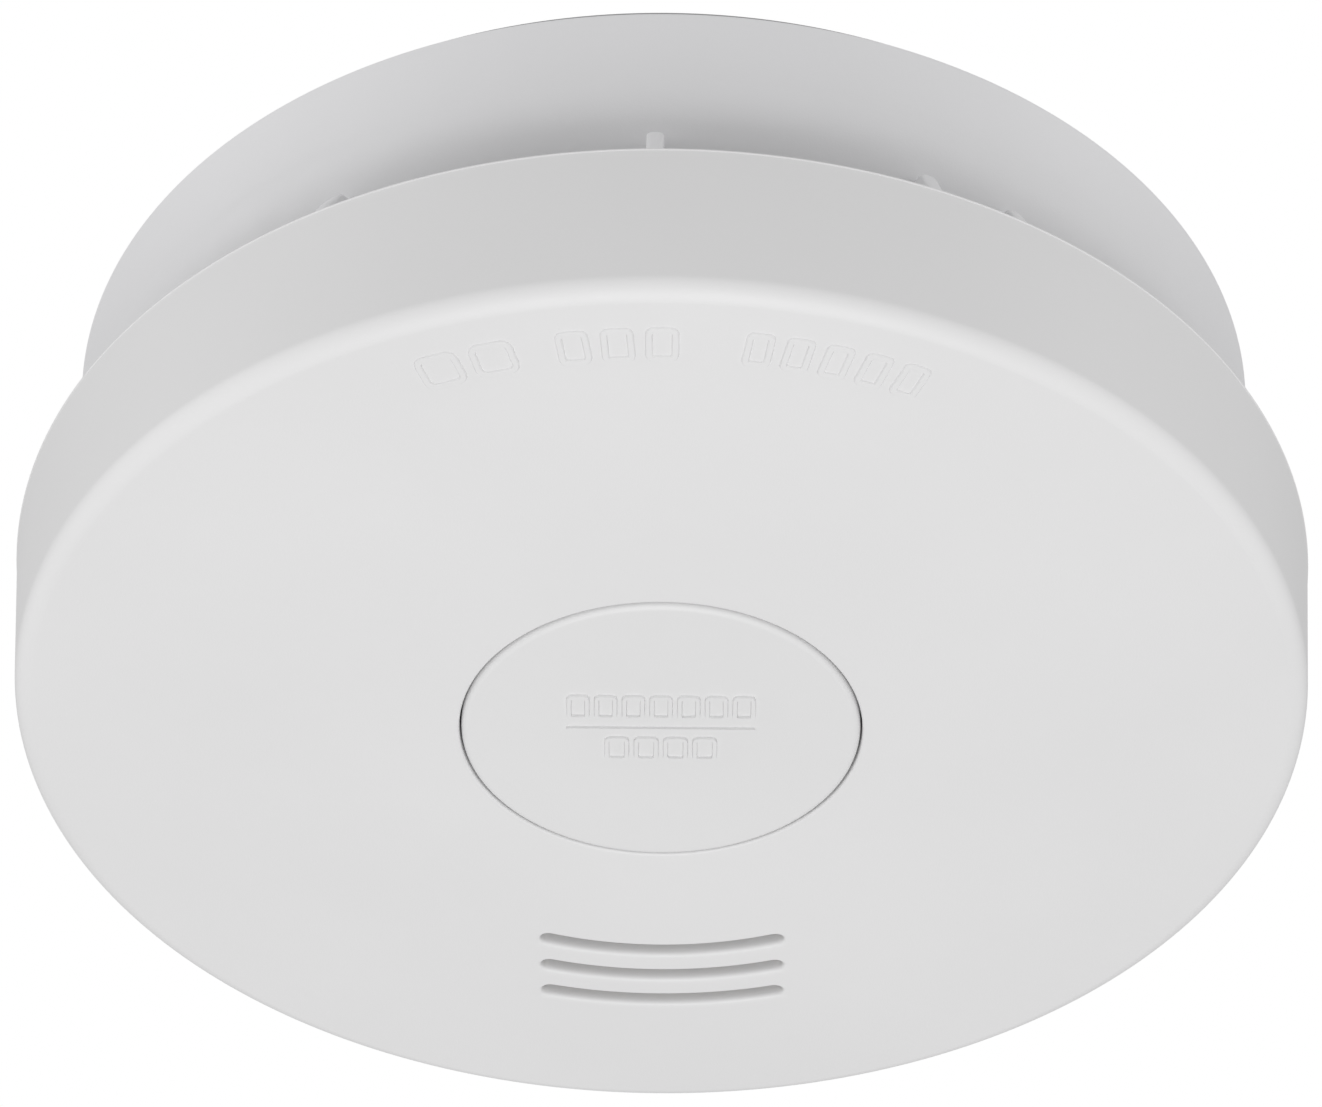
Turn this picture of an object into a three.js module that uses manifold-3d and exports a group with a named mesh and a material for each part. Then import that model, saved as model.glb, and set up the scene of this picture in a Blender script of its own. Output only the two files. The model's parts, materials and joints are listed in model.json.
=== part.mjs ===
// A round ceiling-mounted carbon monoxide detector: a thin mounting plate, a bowl-shaped back shell that
// twists onto it, and a shallow front cover with a round test button and three sound slots.
// Units are millimetres. +Z is up, the ceiling is the plane z = 0 and the detector hangs below it.
// Azimuth 0 is the -Y side, and azimuths grow towards +X.
import * as THREE from "three";
import { mergeVertices } from "three/addons/utils/BufferGeometryUtils.js";
import Module from "manifold-3d";

const wasm = await Module();
wasm.setup();

// ---------------------------------------------------------------- driving dimensions
const ROUND = 48; // segments round the large shells
const MEDIUM = 24; // segments round the sensor and the horn
const FINE = 20; // segments round small cylinders
const COARSE = 12; // segments round holes and pins
const GAP = 0.3; // between pieces that rest on each other
const SLIVER = 0.1; // between a component and the board or seat it is soldered or glued to
const OVERLAP = 0.2; // how far joined solids run into each other
const PAST = 1; // how far a cutting tool runs past the face it cuts

const PLATE_R = 47.3;
const PLATE_T = 1.2;
const SHELL_R = 48.8;
const SHELL_TOP = -PLATE_T - 0.5; // the shell hangs by its lugs and clears the plate
const SHELL_WALL = 1.8;
const BOWL_START = -8.2; // where the shell's straight wall turns into the bowl
const BOWL_R = 10;
const BOWL_CENTRE_R = SHELL_R - 0.7 - BOWL_R;
const FLOOR_BOTTOM = -18.4;
const FLOOR_TOP = -16.9;

const COVER_R = 53;
const COVER_FOOT_R = 52.3; // the wall's radius where it meets the edge round
const COVER_WALL = 1.7;
const RIM_Z = -20.25;
const WALL_END_Z = -32.6;
const EDGE_ROUND = 1.7;
const FACE_Z = -34.95; // the middle of the crowned face
const INNER_FACE_Z = -32.8;

const BUTTON_R = 16;
const BUTTON_FACE_Z = FACE_Z - 0.5; // the button stands slightly proud of the cover
const BUTTON_BACK_Z = -33.2;
const SKIRT_R = 14.6; // inside the button's skirt
const TAB = { r: 17.6, bottom: -32.5, top: -31.5, span: 46, azimuths: [45, 135, 225, 315] };
const OPENING_R = 16.3;
const WEB_T = 0.9; // the webs behind the button's face
const POST_R = 1.6;
const POST_TOP_Z = -27.15;
const POST_CLEARANCE = 0.35; // from the button's post to the switch's plunger

const SLOT_AZIMUTH = 179.5;
const SLOT_RADII = [29.65, 33.2, 36.75];
const SLOT_WIDTH = 1.3;
const SLOT_HALF_SPAN = 9.5; // sideways, to the middle of each slot's round end

const BOARD_R = 40;
const BOARD_BOTTOM = -21.9;
const BOARD_TOP = -20.3;
const SCREW_X = 26.4;
const SCREW_Y = 22.2;
const SCREWS = [[-1, -1], [1, -1], [1, 1], [-1, 1]].map(([x, y]) => [x * SCREW_X, y * SCREW_Y]);

const BAYONET_AZIMUTHS = [60, 180, 300];
const RIB_AZIMUTHS = [0, 120, 240].flatMap((turn) => [-32.7, -1, 25.4, 35].map((a) => a + turn));
const RIB_T = 1.36;

const CELL_R = 7.25;
const CELL_LENGTH = 49.2;
const STUD_LENGTH = 1.3;
const CELL_Y = 7.6;
const CELL_Z = SHELL_TOP - 0.2 - CELL_R;
const BAY_X = 29.6;
const BAY_Y = 15.4;
const BAY_WALL = 1.2;
const BAY_TOP = -4.2;

const SENSOR = { x: -31, y: 0, r: 10, top: BOARD_BOTTOM - SLIVER, bottom: -32.2 };
const HORN = { x: 0, y: 32.6, r: 11.2, top: -24, bottom: -32.2 };
const SCREEN = { r0: 45.3, r1: 45.9, top: -15.7, bottom: -32.5, slits: 16 };

// ---------------------------------------------------------------- making and joining solids
const rad = THREE.MathUtils.degToRad;
const at = (azimuth, r) => [r * Math.sin(rad(azimuth)), -r * Math.cos(rad(azimuth))];

// A closed geometry as a manifold-3d solid, with its faces pointing out.
function solid(geometry) {
  const bare = new THREE.BufferGeometry();
  bare.setAttribute("position", geometry.getAttribute("position"));
  if (geometry.index) bare.setIndex(geometry.index);
  const merged = mergeVertices(bare, 1e-4);
  const vertProperties = merged.attributes.position.array;
  const make = (triVerts) => new wasm.Manifold(new wasm.Mesh({ numProp: 3, vertProperties, triVerts }));
  const made = make(new Uint32Array(merged.index.array));
  if (made.volume() > 0) return made;
  return make(new Uint32Array(merged.index.array).reverse());
}

const join = (...solids) => solids.flat().reduce((a, b) => a.add(b));
const cut = (from, ...tools) => tools.flat().reduce((a, b) => a.subtract(b), from);

// A solid of revolution about Z from [r, z] points, which close on themselves or run from axis to axis.
function lathe(points, segments = ROUND) {
  const profile = points.map(([r, z]) => new THREE.Vector2(r, z));
  return solid(new THREE.LatheGeometry(profile, segments).rotateX(Math.PI / 2));
}

const ring = (points, segments) => lathe([...points, points[0]], segments);

// A cylinder along Z between two heights.
function cylinder([x, y], r, z0, z1, segments = FINE) {
  const g = new THREE.CylinderGeometry(r, r, z1 - z0, segments).rotateX(Math.PI / 2);
  return solid(g.translate(x, y, (z0 + z1) / 2));
}

// A cylinder along X between two places.
function rodX(x0, x1, y, z, r, segments = FINE) {
  const g = new THREE.CylinderGeometry(r, r, x1 - x0, segments).rotateZ(Math.PI / 2);
  return solid(g.translate((x0 + x1) / 2, y, z));
}

function box([x0, x1], [y0, y1], [z0, z1]) {
  const g = new THREE.BoxGeometry(x1 - x0, y1 - y0, z1 - z0);
  return solid(g.translate((x0 + x1) / 2, (y0 + y1) / 2, (z0 + z1) / 2));
}

const boxAt = ([x, y], w, d, z) => box([x - w / 2, x + w / 2], [y - d / 2, y + d / 2], z);

// A flat outline raised between two heights.
function raise(shape, z0, z1, curveSegments = 16) {
  const g = new THREE.ExtrudeGeometry(shape, { depth: z1 - z0, bevelEnabled: false, curveSegments });
  return solid(g.translate(0, 0, z0));
}

// Points on an arc, between two angles in degrees.
const arcPoints = ([x, y], radius, from, to, steps) =>
  Array.from({ length: steps + 1 }, (_, i) => {
    const a = rad(from + ((to - from) * i) / steps);
    return [x + radius * Math.cos(a), y + radius * Math.sin(a)];
  });

// A piece of a ring: from r0 to r1, over span degrees about an azimuth.
function sector(azimuth, span, r0, r1, z0, z1, steps = 6) {
  const from = rad(azimuth - span / 2 - 90);
  const to = rad(azimuth + span / 2 - 90);
  const shape = new THREE.Shape().absarc(0, 0, r1, from, to, false).absarc(0, 0, r0, to, from, true);
  return raise(shape, z0, z1, steps);
}

// An arc slot of one width with round ends, as a tool that cuts from z0 to z1.
function arcSlot(azimuth, halfSpan, r, width, z0, z1) {
  const [from, to] = [azimuth - halfSpan - 90, azimuth + halfSpan - 90];
  const end = (a) => [r * Math.cos(rad(a)), r * Math.sin(rad(a))];
  const outline = [
    ...arcPoints([0, 0], r + width / 2, from, to, 6).slice(0, -1),
    ...arcPoints(end(to), width / 2, to, to + 180, 4).slice(0, -1),
    ...arcPoints([0, 0], r - width / 2, to, from, 6).slice(0, -1),
    ...arcPoints(end(from), width / 2, from + 180, from + 360, 4).slice(0, -1),
  ];
  return raise(new THREE.Shape(outline.map(([x, y]) => new THREE.Vector2(x, y))), z0, z1);
}

// A plate of one thickness that stands upright on a radius, from [r, z] points.
function radialPlate(points, thickness, azimuth) {
  const shape = new THREE.Shape(points.map(([r, z]) => new THREE.Vector2(r, z)));
  const g = new THREE.ExtrudeGeometry(shape, { depth: thickness, bevelEnabled: false });
  g.translate(0, 0, -thickness / 2).rotateX(Math.PI / 2).rotateZ(rad(azimuth - 90));
  return solid(g);
}

// ---------------------------------------------------------------- the assembly's materials
function material(color, roughness, metalness = 0) {
  return new THREE.MeshStandardMaterial({ color, roughness, metalness });
}

const WHITE = material(0xe9e8e6, 0.5);
const PLATE_GREY = material(0x9c9c9e, 0.6);
const NATURAL = material(0xdcdcda, 0.6);
const BLACK = material(0x1d1e20, 0.5);
const GREEN = material(0x1e5c38, 0.45);
const STEEL = material(0xb9bbbe, 0.3, 1);
const NICKEL = material(0xc9c6bd, 0.3, 1);
const BRASS = material(0xc79f4b, 0.35, 1);
const CERAMIC = material(0xe6e2d6, 0.7);
const RED_LENS = material(0xc8302a, 0.2);
const CELL_WRAP = material(0x3b5f8a, 0.35);
const FOAM = material(0x2c2c2e, 0.95);

const detector = new THREE.Group();

function place(name, made, finish) {
  const { vertProperties, triVerts, numProp } = made.getMesh();
  const position = new Float32Array((vertProperties.length / numProp) * 3);
  for (let i = 0; i < position.length / 3; i++) {
    position.set(vertProperties.subarray(i * numProp, i * numProp + 3), i * 3);
  }
  const g = new THREE.BufferGeometry();
  g.setAttribute("position", new THREE.BufferAttribute(position, 3));
  g.setIndex(new THREE.BufferAttribute(triVerts, 1));
  g.computeVertexNormals();
  const mesh = new THREE.Mesh(g, finish);
  mesh.name = name;
  detector.add(mesh);
}

// ---------------------------------------------------------------- mounting plate, on the ceiling
const HOOK = { r0: 42.6, leg: 43.8, r1: 45.4, bottom: -6, foot: -4.6, span: 18, stopSpan: 1.6 };
const STIFFENER = { r0: 38, r1: 39.2, bottom: -3 };
const KEYHOLE = { x: 33, headR: 4.5, shankR: 2.3, neck: 4.2, reach: 9 };
const ARC_SLOT = { azimuths: [0, 180], halfSpan: 17, r: 30, width: 5 };
const RECESS = { azimuths: [30, 90, 150, 210, 270, 330], span: 44, r0: 12, r1: 24, depth: 0.5 };
const MARK = { azimuths: [0, 90, 180, 270], inset: 2, size: 1.2, depth: 0.4 };

// A bayonet hook: a leg down from the plate, a foot that a lug slides over, and a stop at one end.
function hook(azimuth) {
  const { r0, leg, r1, bottom, foot, span, stopSpan } = HOOK;
  return [
    sector(azimuth, span, r0, leg, bottom, -PLATE_T + OVERLAP, 3),
    sector(azimuth, span - 0.4, r0 + 0.5, r1, bottom + 0.1, foot, 3),
    sector(azimuth + span / 2 + 0.5, stopSpan, r0 + 0.3, r1 - 0.1, bottom + 0.2, -PLATE_T + 0.3, 1),
  ];
}

function keyhole(side) {
  const x = side * KEYHOLE.x;
  const z = [-PLATE_T - PAST, PAST];
  return [
    cylinder([x, 0], KEYHOLE.headR, ...z),
    cylinder([x, KEYHOLE.reach], KEYHOLE.shankR, ...z, COARSE),
    boxAt([x, KEYHOLE.reach / 2], KEYHOLE.neck, KEYHOLE.reach, z),
  ];
}

function mountingPlate() {
  const { r0, r1, bottom } = STIFFENER;
  const disc = lathe([
    [0, -PLATE_T], [PLATE_R - 0.4, -PLATE_T], [PLATE_R, -PLATE_T + 0.4], [PLATE_R, -0.3],
    [PLATE_R - 0.3, 0], [0, 0],
  ]);
  const stiffener = ring([[r0, bottom], [r1, bottom], [r1, -PLATE_T + OVERLAP], [r0, -PLATE_T + OVERLAP]]);
  const arcs = ARC_SLOT.azimuths.map((a) =>
    arcSlot(a, ARC_SLOT.halfSpan, ARC_SLOT.r, ARC_SLOT.width, -PLATE_T - PAST, PAST),
  );
  const recesses = RECESS.azimuths.map((a) =>
    sector(a, RECESS.span, RECESS.r0, RECESS.r1, -RECESS.depth, PAST, 4),
  );
  const marks = MARK.azimuths.map((a) =>
    boxAt(at(a, PLATE_R - MARK.inset), MARK.size, MARK.size, [-MARK.depth, PAST]),
  );
  const body = join(disc, stiffener, BAYONET_AZIMUTHS.flatMap(hook));
  return cut(body, arcs, [-1, 1].flatMap(keyhole), recesses, marks);
}

// ---------------------------------------------------------------- back shell: the bowl behind the cover
const LUG = { r0: 44.2, bottom: HOOK.foot + GAP, top: -2.6, span: 14 };
const BOWL_END_DEG = -78;
const SEAT_R = 4;
const SEAT_TOP = FLOOR_TOP + 0.8;
const SCREW_HOLE_R = 1.7;
const CONTACT_X = BAY_X - 0.9; // the strip contacts' place along the bay

function bowl() {
  const outer = arcPoints([BOWL_CENTRE_R, BOWL_START], BOWL_R, 0, BOWL_END_DEG, 6);
  const inner = arcPoints([BOWL_CENTRE_R, BOWL_START], BOWL_R - SHELL_WALL, BOWL_END_DEG, 0, 3);
  const lip = SHELL_R - SHELL_WALL;
  return lathe([
    [0, FLOOR_TOP], [BOWL_CENTRE_R, FLOOR_TOP], ...inner, [lip, SHELL_TOP], [SHELL_R - 0.4, SHELL_TOP],
    [SHELL_R, SHELL_TOP - 0.4], ...outer, [BOWL_CENTRE_R, FLOOR_BOTTOM], [0, FLOOR_BOTTOM],
  ]);
}

// An air-gap rib: it stands proud of the bowl, and slopes out to the inside of the cover's wall.
function rib(azimuth) {
  const root = BOWL_CENTRE_R + 7.4;
  const inside = SCREEN.r1 + 0.5;
  const reach = COVER_R - COVER_WALL - GAP;
  const outline = [
    [root, -13.4], [47.7, -13.4], [49.4, -16.7], [50.3, -18.4], [reach, -19.4], [reach, -21.6],
    [reach - 1.2, -22.8], [inside, -20.2], [inside, -15.2], [root, -14.4],
  ];
  return radialPlate(outline, RIB_T, azimuth);
}

function batteryBay() {
  const span = (x, y) => [[-x, x], [-y, y]];
  const outside = box(...span(BAY_X + BAY_WALL, BAY_Y + BAY_WALL), [FLOOR_TOP - OVERLAP, BAY_TOP]);
  const inside = box(...span(BAY_X, BAY_Y), [FLOOR_TOP - PAST, BAY_TOP + PAST]);
  const ridge = box(...span(20, 0.6), [FLOOR_TOP - OVERLAP, CELL_Z - 5]);
  const fingerGap = boxAt([0, 0], 14, 2 * BAY_Y + 6, [CELL_Z + 1, BAY_TOP + PAST]);
  return [cut(outside, inside, fingerGap), ridge];
}

function backShell() {
  const lugs = BAYONET_AZIMUTHS.map((a) => sector(a, LUG.span, LUG.r0, SHELL_R - 1, LUG.bottom, LUG.top));
  const seats = SCREWS.map((p) => cylinder(p, SEAT_R, FLOOR_TOP - OVERLAP, SEAT_TOP));
  const body = join(bowl(), batteryBay(), lugs, seats, RIB_AZIMUTHS.map(rib));
  const holes = SCREWS.map((p) => cylinder(p, SCREW_HOLE_R, FLOOR_BOTTOM - PAST, SEAT_TOP + PAST, COARSE));
  const through = [FLOOR_BOTTOM - PAST, FLOOR_TOP + PAST];
  const tailSlots = [-1, 1].map((side) => boxAt([CONTACT_X, side * CELL_Y], 1, 3.4, through));
  return cut(body, holes, tailSlots);
}

// ---------------------------------------------------------------- front cover
function coverShell() {
  const edge = arcPoints([COVER_FOOT_R - EDGE_ROUND, WALL_END_Z], EDGE_ROUND, 0, -84, 4);
  const [edgeR, edgeZ] = edge.at(-1);
  const crown = [0.25, 0.6].map((t) => {
    return [edgeR + (OPENING_R - edgeR) * t, edgeZ + (FACE_Z - edgeZ) * t * (2 - t)];
  });
  const inner = COVER_R - COVER_WALL;
  return ring([
    [inner, RIM_Z], [COVER_R - 0.3, RIM_Z], [COVER_R, RIM_Z - 0.3], ...edge, ...crown,
    [OPENING_R + 0.3, FACE_Z], [OPENING_R, FACE_Z + 0.3], [OPENING_R, INNER_FACE_Z],
    [inner - 2, INNER_FACE_Z], [inner - 0.6, INNER_FACE_Z + 0.8], [inner - 0.3, INNER_FACE_Z + 2.2],
  ]);
}

const soundSlots = () =>
  SLOT_RADII.map((r) => {
    const halfSpan = THREE.MathUtils.radToDeg(Math.asin(SLOT_HALF_SPAN / r));
    return arcSlot(SLOT_AZIMUTH, halfSpan, r, SLOT_WIDTH, FACE_Z - PAST, INNER_FACE_Z + PAST);
  });

// Walls inside the cover start within its thickness.
const ROOT_Z = INNER_FACE_Z - 0.6;
const GUIDE = { r: 18.3, wall: 1, top: -29.5 };
const HORN_WALL = { r: HORN.r + 0.3, wall: 0.8, top: -28 };
const BOSS = { r: 3.8, neckR: 2.7, pilotR: 1.35, pilotEnd: -30.5 };

function collar({ r, wall, top }) {
  return ring([[r, ROOT_Z], [r + wall, ROOT_Z], [r + wall, top], [r, top]], MEDIUM);
}

// A screw boss with a shoulder that carries the board.
function boss([x, y]) {
  const shoulder = BOARD_BOTTOM - GAP;
  const top = FLOOR_BOTTOM - GAP;
  const post = lathe([
    [0, ROOT_Z], [BOSS.r, ROOT_Z], [BOSS.r, shoulder], [BOSS.neckR, shoulder], [BOSS.neckR, top], [0, top],
  ], FINE);
  return cut(post.translate([x, y, 0]), cylinder([x, y], BOSS.pilotR, BOSS.pilotEnd, top + PAST, COARSE));
}

function frontCover() {
  const hornWall = collar(HORN_WALL).translate([HORN.x, HORN.y, 0]);
  return cut(join(coverShell(), collar(GUIDE), hornWall, SCREWS.map(boss)), soundSlots());
}

// ---------------------------------------------------------------- test button
// It is pressed upwards into the cover: a shallow cap with a skirt, four tabs that hold it in, cross webs
// and a post that reaches the switch.
function testButton() {
  const cap = lathe([
    [0, BUTTON_FACE_Z], [BUTTON_R - 0.6, BUTTON_FACE_Z + 0.05], [BUTTON_R - 0.15, BUTTON_FACE_Z + 0.2],
    [BUTTON_R, BUTTON_FACE_Z + 0.6], [BUTTON_R, TAB.top], [SKIRT_R, TAB.top], [SKIRT_R, BUTTON_BACK_Z],
    [0, BUTTON_BACK_Z],
  ]);
  const tabs = TAB.azimuths.map((a) => sector(a, TAB.span, SKIRT_R + 0.5, TAB.r, TAB.bottom, TAB.top));
  const post = cylinder([0, 0], POST_R, BUTTON_BACK_Z - OVERLAP, POST_TOP_Z);
  const [webR, low, high] = [SKIRT_R + OVERLAP, BUTTON_BACK_Z - OVERLAP, BUTTON_BACK_Z + 1];
  const web = [[-webR, low], [webR, low], [webR, high], [-webR, high]];
  const webs = [0, 90].map((a) => radialPlate(web, WEB_T, a));
  return join(cap, tabs, post, webs);
}

// ---------------------------------------------------------------- insect screen round the electronics
const SLIT = { width: 8, height: 12 };

function insectScreen() {
  const { r0, r1, top, bottom, slits: count } = SCREEN;
  const wall = ring([[r0, bottom], [r1, bottom], [r1, top], [r0, top]]);
  const slits = Array.from({ length: count }, (_, i) => {
    const g = new THREE.BoxGeometry(3, SLIT.width, SLIT.height).translate(r0, 0, (top + bottom) / 2);
    return solid(g.rotateZ(rad((360 / count) * (i + 0.5))));
  });
  return cut(wall, slits);
}

// ---------------------------------------------------------------- circuit board and what is soldered to it
const PIN_CIRCLE_R = 6.5;
const SENSOR_PINS = [180, 60, 300].map((a) => {
  const [x, y] = at(a, PIN_CIRCLE_R);
  return [SENSOR.x + x, SENSOR.y + y];
});
const HORN_PINS = [-4, 4].map((x) => [HORN.x + x, HORN.y]);
const PIN_HOLE_R = 0.7;
const PIN_SIDES = 8;

function mainBoard() {
  const disc = cylinder([0, 0], BOARD_R, BOARD_BOTTOM, BOARD_TOP, ROUND);
  const through = [BOARD_BOTTOM - PAST, BOARD_TOP + PAST];
  const screwHoles = SCREWS.map((p) => cylinder(p, BOSS.neckR + GAP, ...through, COARSE));
  const pinHoles = [...SENSOR_PINS, ...HORN_PINS].map((p) => cylinder(p, PIN_HOLE_R, ...through, PIN_SIDES));
  return cut(disc, screwHoles, pinHoles);
}

// The height range of a component of some height hanging from the board.
const hanging = (height) => [BOARD_BOTTOM - SLIVER - height, BOARD_BOTTOM - SLIVER];

const SWITCH = { size: 6, height: 3.4, bore: 1.95, plunger: 1.7, frameT: 0.3 };

function switchBody() {
  const [bottom, top] = hanging(SWITCH.height);
  const block = boxAt([0, 0], SWITCH.size, SWITCH.size, [bottom, top]);
  return cut(block, cylinder([0, 0], SWITCH.bore, bottom - PAST, bottom + 1.5));
}

function switchFrame() {
  const [bottom] = hanging(SWITCH.height);
  const [low, high] = [bottom - SLIVER - SWITCH.frameT, bottom - SLIVER];
  const sheet = boxAt([0, 0], SWITCH.size + 0.2, SWITCH.size + 0.2, [low, high]);
  return cut(sheet, cylinder([0, 0], SWITCH.bore + 0.1, low - PAST, high + PAST));
}

function switchPlunger() {
  const [bottom] = hanging(SWITCH.height);
  return cylinder([0, 0], SWITCH.plunger, POST_TOP_Z + POST_CLEARANCE, bottom + 1);
}

// The electrochemical cell: a can with its gas hole facing the cover, a cap over a filter, and three pins.
const CAP = { height: 2.6, skirt: 0.8, floor: 0.9, holeR: 2 };
const SPIGOT_R = SENSOR.r - 1.2; // the can's narrow end, inside the cap
const FILTER_R = 7.6;

function sensorCan() {
  const floor = SENSOR.bottom + CAP.height + SLIVER;
  const can = lathe([
    [0, floor], [SPIGOT_R, floor], [SPIGOT_R, floor + 1], [SENSOR.r, floor + 1], [SENSOR.r, SENSOR.top - 0.5],
    [SENSOR.r - 0.5, SENSOR.top], [0, SENSOR.top],
  ], MEDIUM);
  return can.translate([SENSOR.x, SENSOR.y, 0]);
}

function sensorCap() {
  const inside = SPIGOT_R + GAP;
  const z = SENSOR.bottom;
  const top = z + CAP.height + CAP.skirt;
  const cap = ring([
    [CAP.holeR, z], [SENSOR.r - 0.4, z], [SENSOR.r, z + 0.4], [SENSOR.r, top], [inside, top],
    [inside, z + CAP.floor], [CAP.holeR, z + CAP.floor],
  ], MEDIUM);
  return cap.translate([SENSOR.x, SENSOR.y, 0]);
}

function sensorFilter() {
  const low = SENSOR.bottom + CAP.floor + SLIVER;
  return cylinder([SENSOR.x, SENSOR.y], FILTER_R, low, SENSOR.bottom + CAP.height - SLIVER);
}

// The horn: a cup behind the sound slots that carries a piezo plate, sealed to the cover by a ring of foam.
const PIEZO = { z: -25.6, plateR: HORN.r - 1.1, ceramicR: 7, t: 0.3 };

// The cup's wall has a groove for the piezo plate's edge, and turns in at the top.
function hornCup() {
  const { r, top, bottom } = HORN;
  const [grooveTop, grooveLow] = [PIEZO.z + 0.6, PIEZO.z - 0.4];
  const cup = ring([
    [r - 1.2, bottom], [r, bottom], [r, top], [r - 2, top], [r - 2, grooveTop], [r - 0.8, grooveTop],
    [r - 0.8, grooveLow], [r - 1.2, grooveLow],
  ], MEDIUM);
  return cup.translate([HORN.x, HORN.y, 0]);
}

function hornSeal() {
  const [r0, r1] = [HORN.r - 1, HORN.r - 0.1];
  const [low, high] = [INNER_FACE_Z + SLIVER, HORN.bottom - SLIVER];
  return ring([[r0, low], [r1, low], [r1, high], [r0, high]], MEDIUM).translate([HORN.x, HORN.y, 0]);
}

const piezoDisc = (r, z) => cylinder([HORN.x, HORN.y], r, z, z + PIEZO.t, MEDIUM);

// A flat strip contact behind the cells' ends, with a tail through the shell's floor to the board.
const STRIP_T = 0.5;
const CONTACT_Z = [-14.6, -5.4];
const STUD_END = CELL_LENGTH / 2 + STUD_LENGTH;

// The dimple that reaches a cell's stud.
const dimple = (side, y) => {
  const [near, far] = [side * (STUD_END + GAP), side * CONTACT_X].sort((a, b) => a - b);
  return rodX(near, far, y, CELL_Z, 2, COARSE);
};

function endContact(side) {
  const y = side * CELL_Y;
  const strip = boxAt([CONTACT_X, y], STRIP_T, 10, CONTACT_Z);
  const tail = boxAt([CONTACT_X, y], STRIP_T, 2.6, [BOARD_TOP + SLIVER, CONTACT_Z[0] + OVERLAP]);
  return side < 0 ? join(strip, tail, dimple(1, y)) : join(strip, tail);
}

const linkContact = () => join(boxAt([-CONTACT_X, 0], STRIP_T, 26, CONTACT_Z), dimple(-1, CELL_Y));

// A conical coil that presses on a cell's flat end.
const COIL = { wide: 4.2, narrow: 2.3, wireR: 0.3, turns: 3 };

function cellSpring(xWide, xNarrow, y) {
  class Cone extends THREE.Curve {
    getPoint(t) {
      const a = 2 * Math.PI * COIL.turns * t;
      const r = COIL.wide + (COIL.narrow - COIL.wide) * t;
      return new THREE.Vector3(xWide + (xNarrow - xWide) * t, y + r * Math.cos(a), CELL_Z + r * Math.sin(a));
    }
  }
  const wire = new THREE.Shape().absarc(0, 0, COIL.wireR, 0, 2 * Math.PI);
  return solid(new THREE.ExtrudeGeometry(wire, { steps: 36, extrudePath: new Cone(), curveSegments: 3 }));
}

// An alkaline cell with its stud towards one end of the bay.
function cell(y, towards) {
  const body = rodX(-CELL_LENGTH / 2, CELL_LENGTH / 2, y, CELL_Z, CELL_R, MEDIUM);
  const [near, far] = [0, towards * STUD_END].sort((a, b) => a - b);
  return join(body, rodX(near, far, y, CELL_Z, 2.7, COARSE));
}

// A pan-head screw with a cross recess, driven from the battery side.
const SCREW = { shankR: 1.25, tipZ: -30, headR: 2.8, headH: 1.8, cross: 3.2, slit: 0.6 };

function coverScrew(p) {
  const seat = SEAT_TOP + SLIVER;
  const shank = cylinder(p, SCREW.shankR, SCREW.tipZ, seat + OVERLAP, COARSE);
  const head = cylinder(p, SCREW.headR, seat, seat + SCREW.headH, FINE);
  const depth = [seat + SCREW.headH / 2, seat + SCREW.headH + PAST];
  const cross = [boxAt(p, SCREW.cross, SCREW.slit, depth), boxAt(p, SCREW.slit, SCREW.cross, depth)];
  return cut(join(shank, head), cross);
}

function led() {
  const p = [7.5, -4];
  return join(cylinder(p, 1.5, ...hanging(3.6), COARSE), cylinder(p, 1.9, ...hanging(1), COARSE));
}

// ---------------------------------------------------------------- the whole detector
place("mounting_plate", mountingPlate(), PLATE_GREY);
place("back_shell", backShell(), WHITE);
place("front_cover", frontCover(), WHITE);
place("test_button", testButton(), WHITE);
place("insect_screen", insectScreen(), NATURAL);
place("main_board", mainBoard(), GREEN);

place("switch_body", switchBody(), BLACK);
place("switch_frame", switchFrame(), STEEL);
place("switch_plunger", switchPlunger(), BLACK);

place("co_sensor_can", sensorCan(), STEEL);
place("co_sensor_cap", sensorCap(), BLACK);
place("co_sensor_filter", sensorFilter(), FOAM);
SENSOR_PINS.forEach((p, i) => {
  place(`co_sensor_pin_${i + 1}`, cylinder(p, 0.5, SENSOR.top + SLIVER, BOARD_TOP + 0.8, PIN_SIDES), NICKEL);
});

place("horn_cup", hornCup(), NATURAL);
place("horn_seal", hornSeal(), FOAM);
place("piezo_plate", piezoDisc(PIEZO.plateR, PIEZO.z - 0.2), BRASS);
place("piezo_ceramic", piezoDisc(PIEZO.ceramicR, PIEZO.z - 0.2 + PIEZO.t + SLIVER), CERAMIC);
HORN_PINS.forEach((p, i) => {
  place(`horn_pin_${i + 1}`, cylinder(p, 0.45, PIEZO.z + 0.6, BOARD_TOP + 0.6, PIN_SIDES), NICKEL);
});

place("battery_cell_front", cell(-CELL_Y, 1), CELL_WRAP);
place("battery_cell_rear", cell(CELL_Y, -1), CELL_WRAP);
place("battery_contact_positive", endContact(-1), NICKEL);
place("battery_contact_negative", endContact(1), NICKEL);
place("battery_contact_link", linkContact(), NICKEL);
place("battery_spring_front", cellSpring(-CONTACT_X + 0.6, -CELL_LENGTH / 2 - 0.6, -CELL_Y), NICKEL);
place("battery_spring_rear", cellSpring(CONTACT_X - 0.6, CELL_LENGTH / 2 + 0.6, CELL_Y), NICKEL);

SCREWS.forEach((p, i) => place(`cover_screw_${i + 1}`, coverScrew(p), STEEL));

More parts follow.
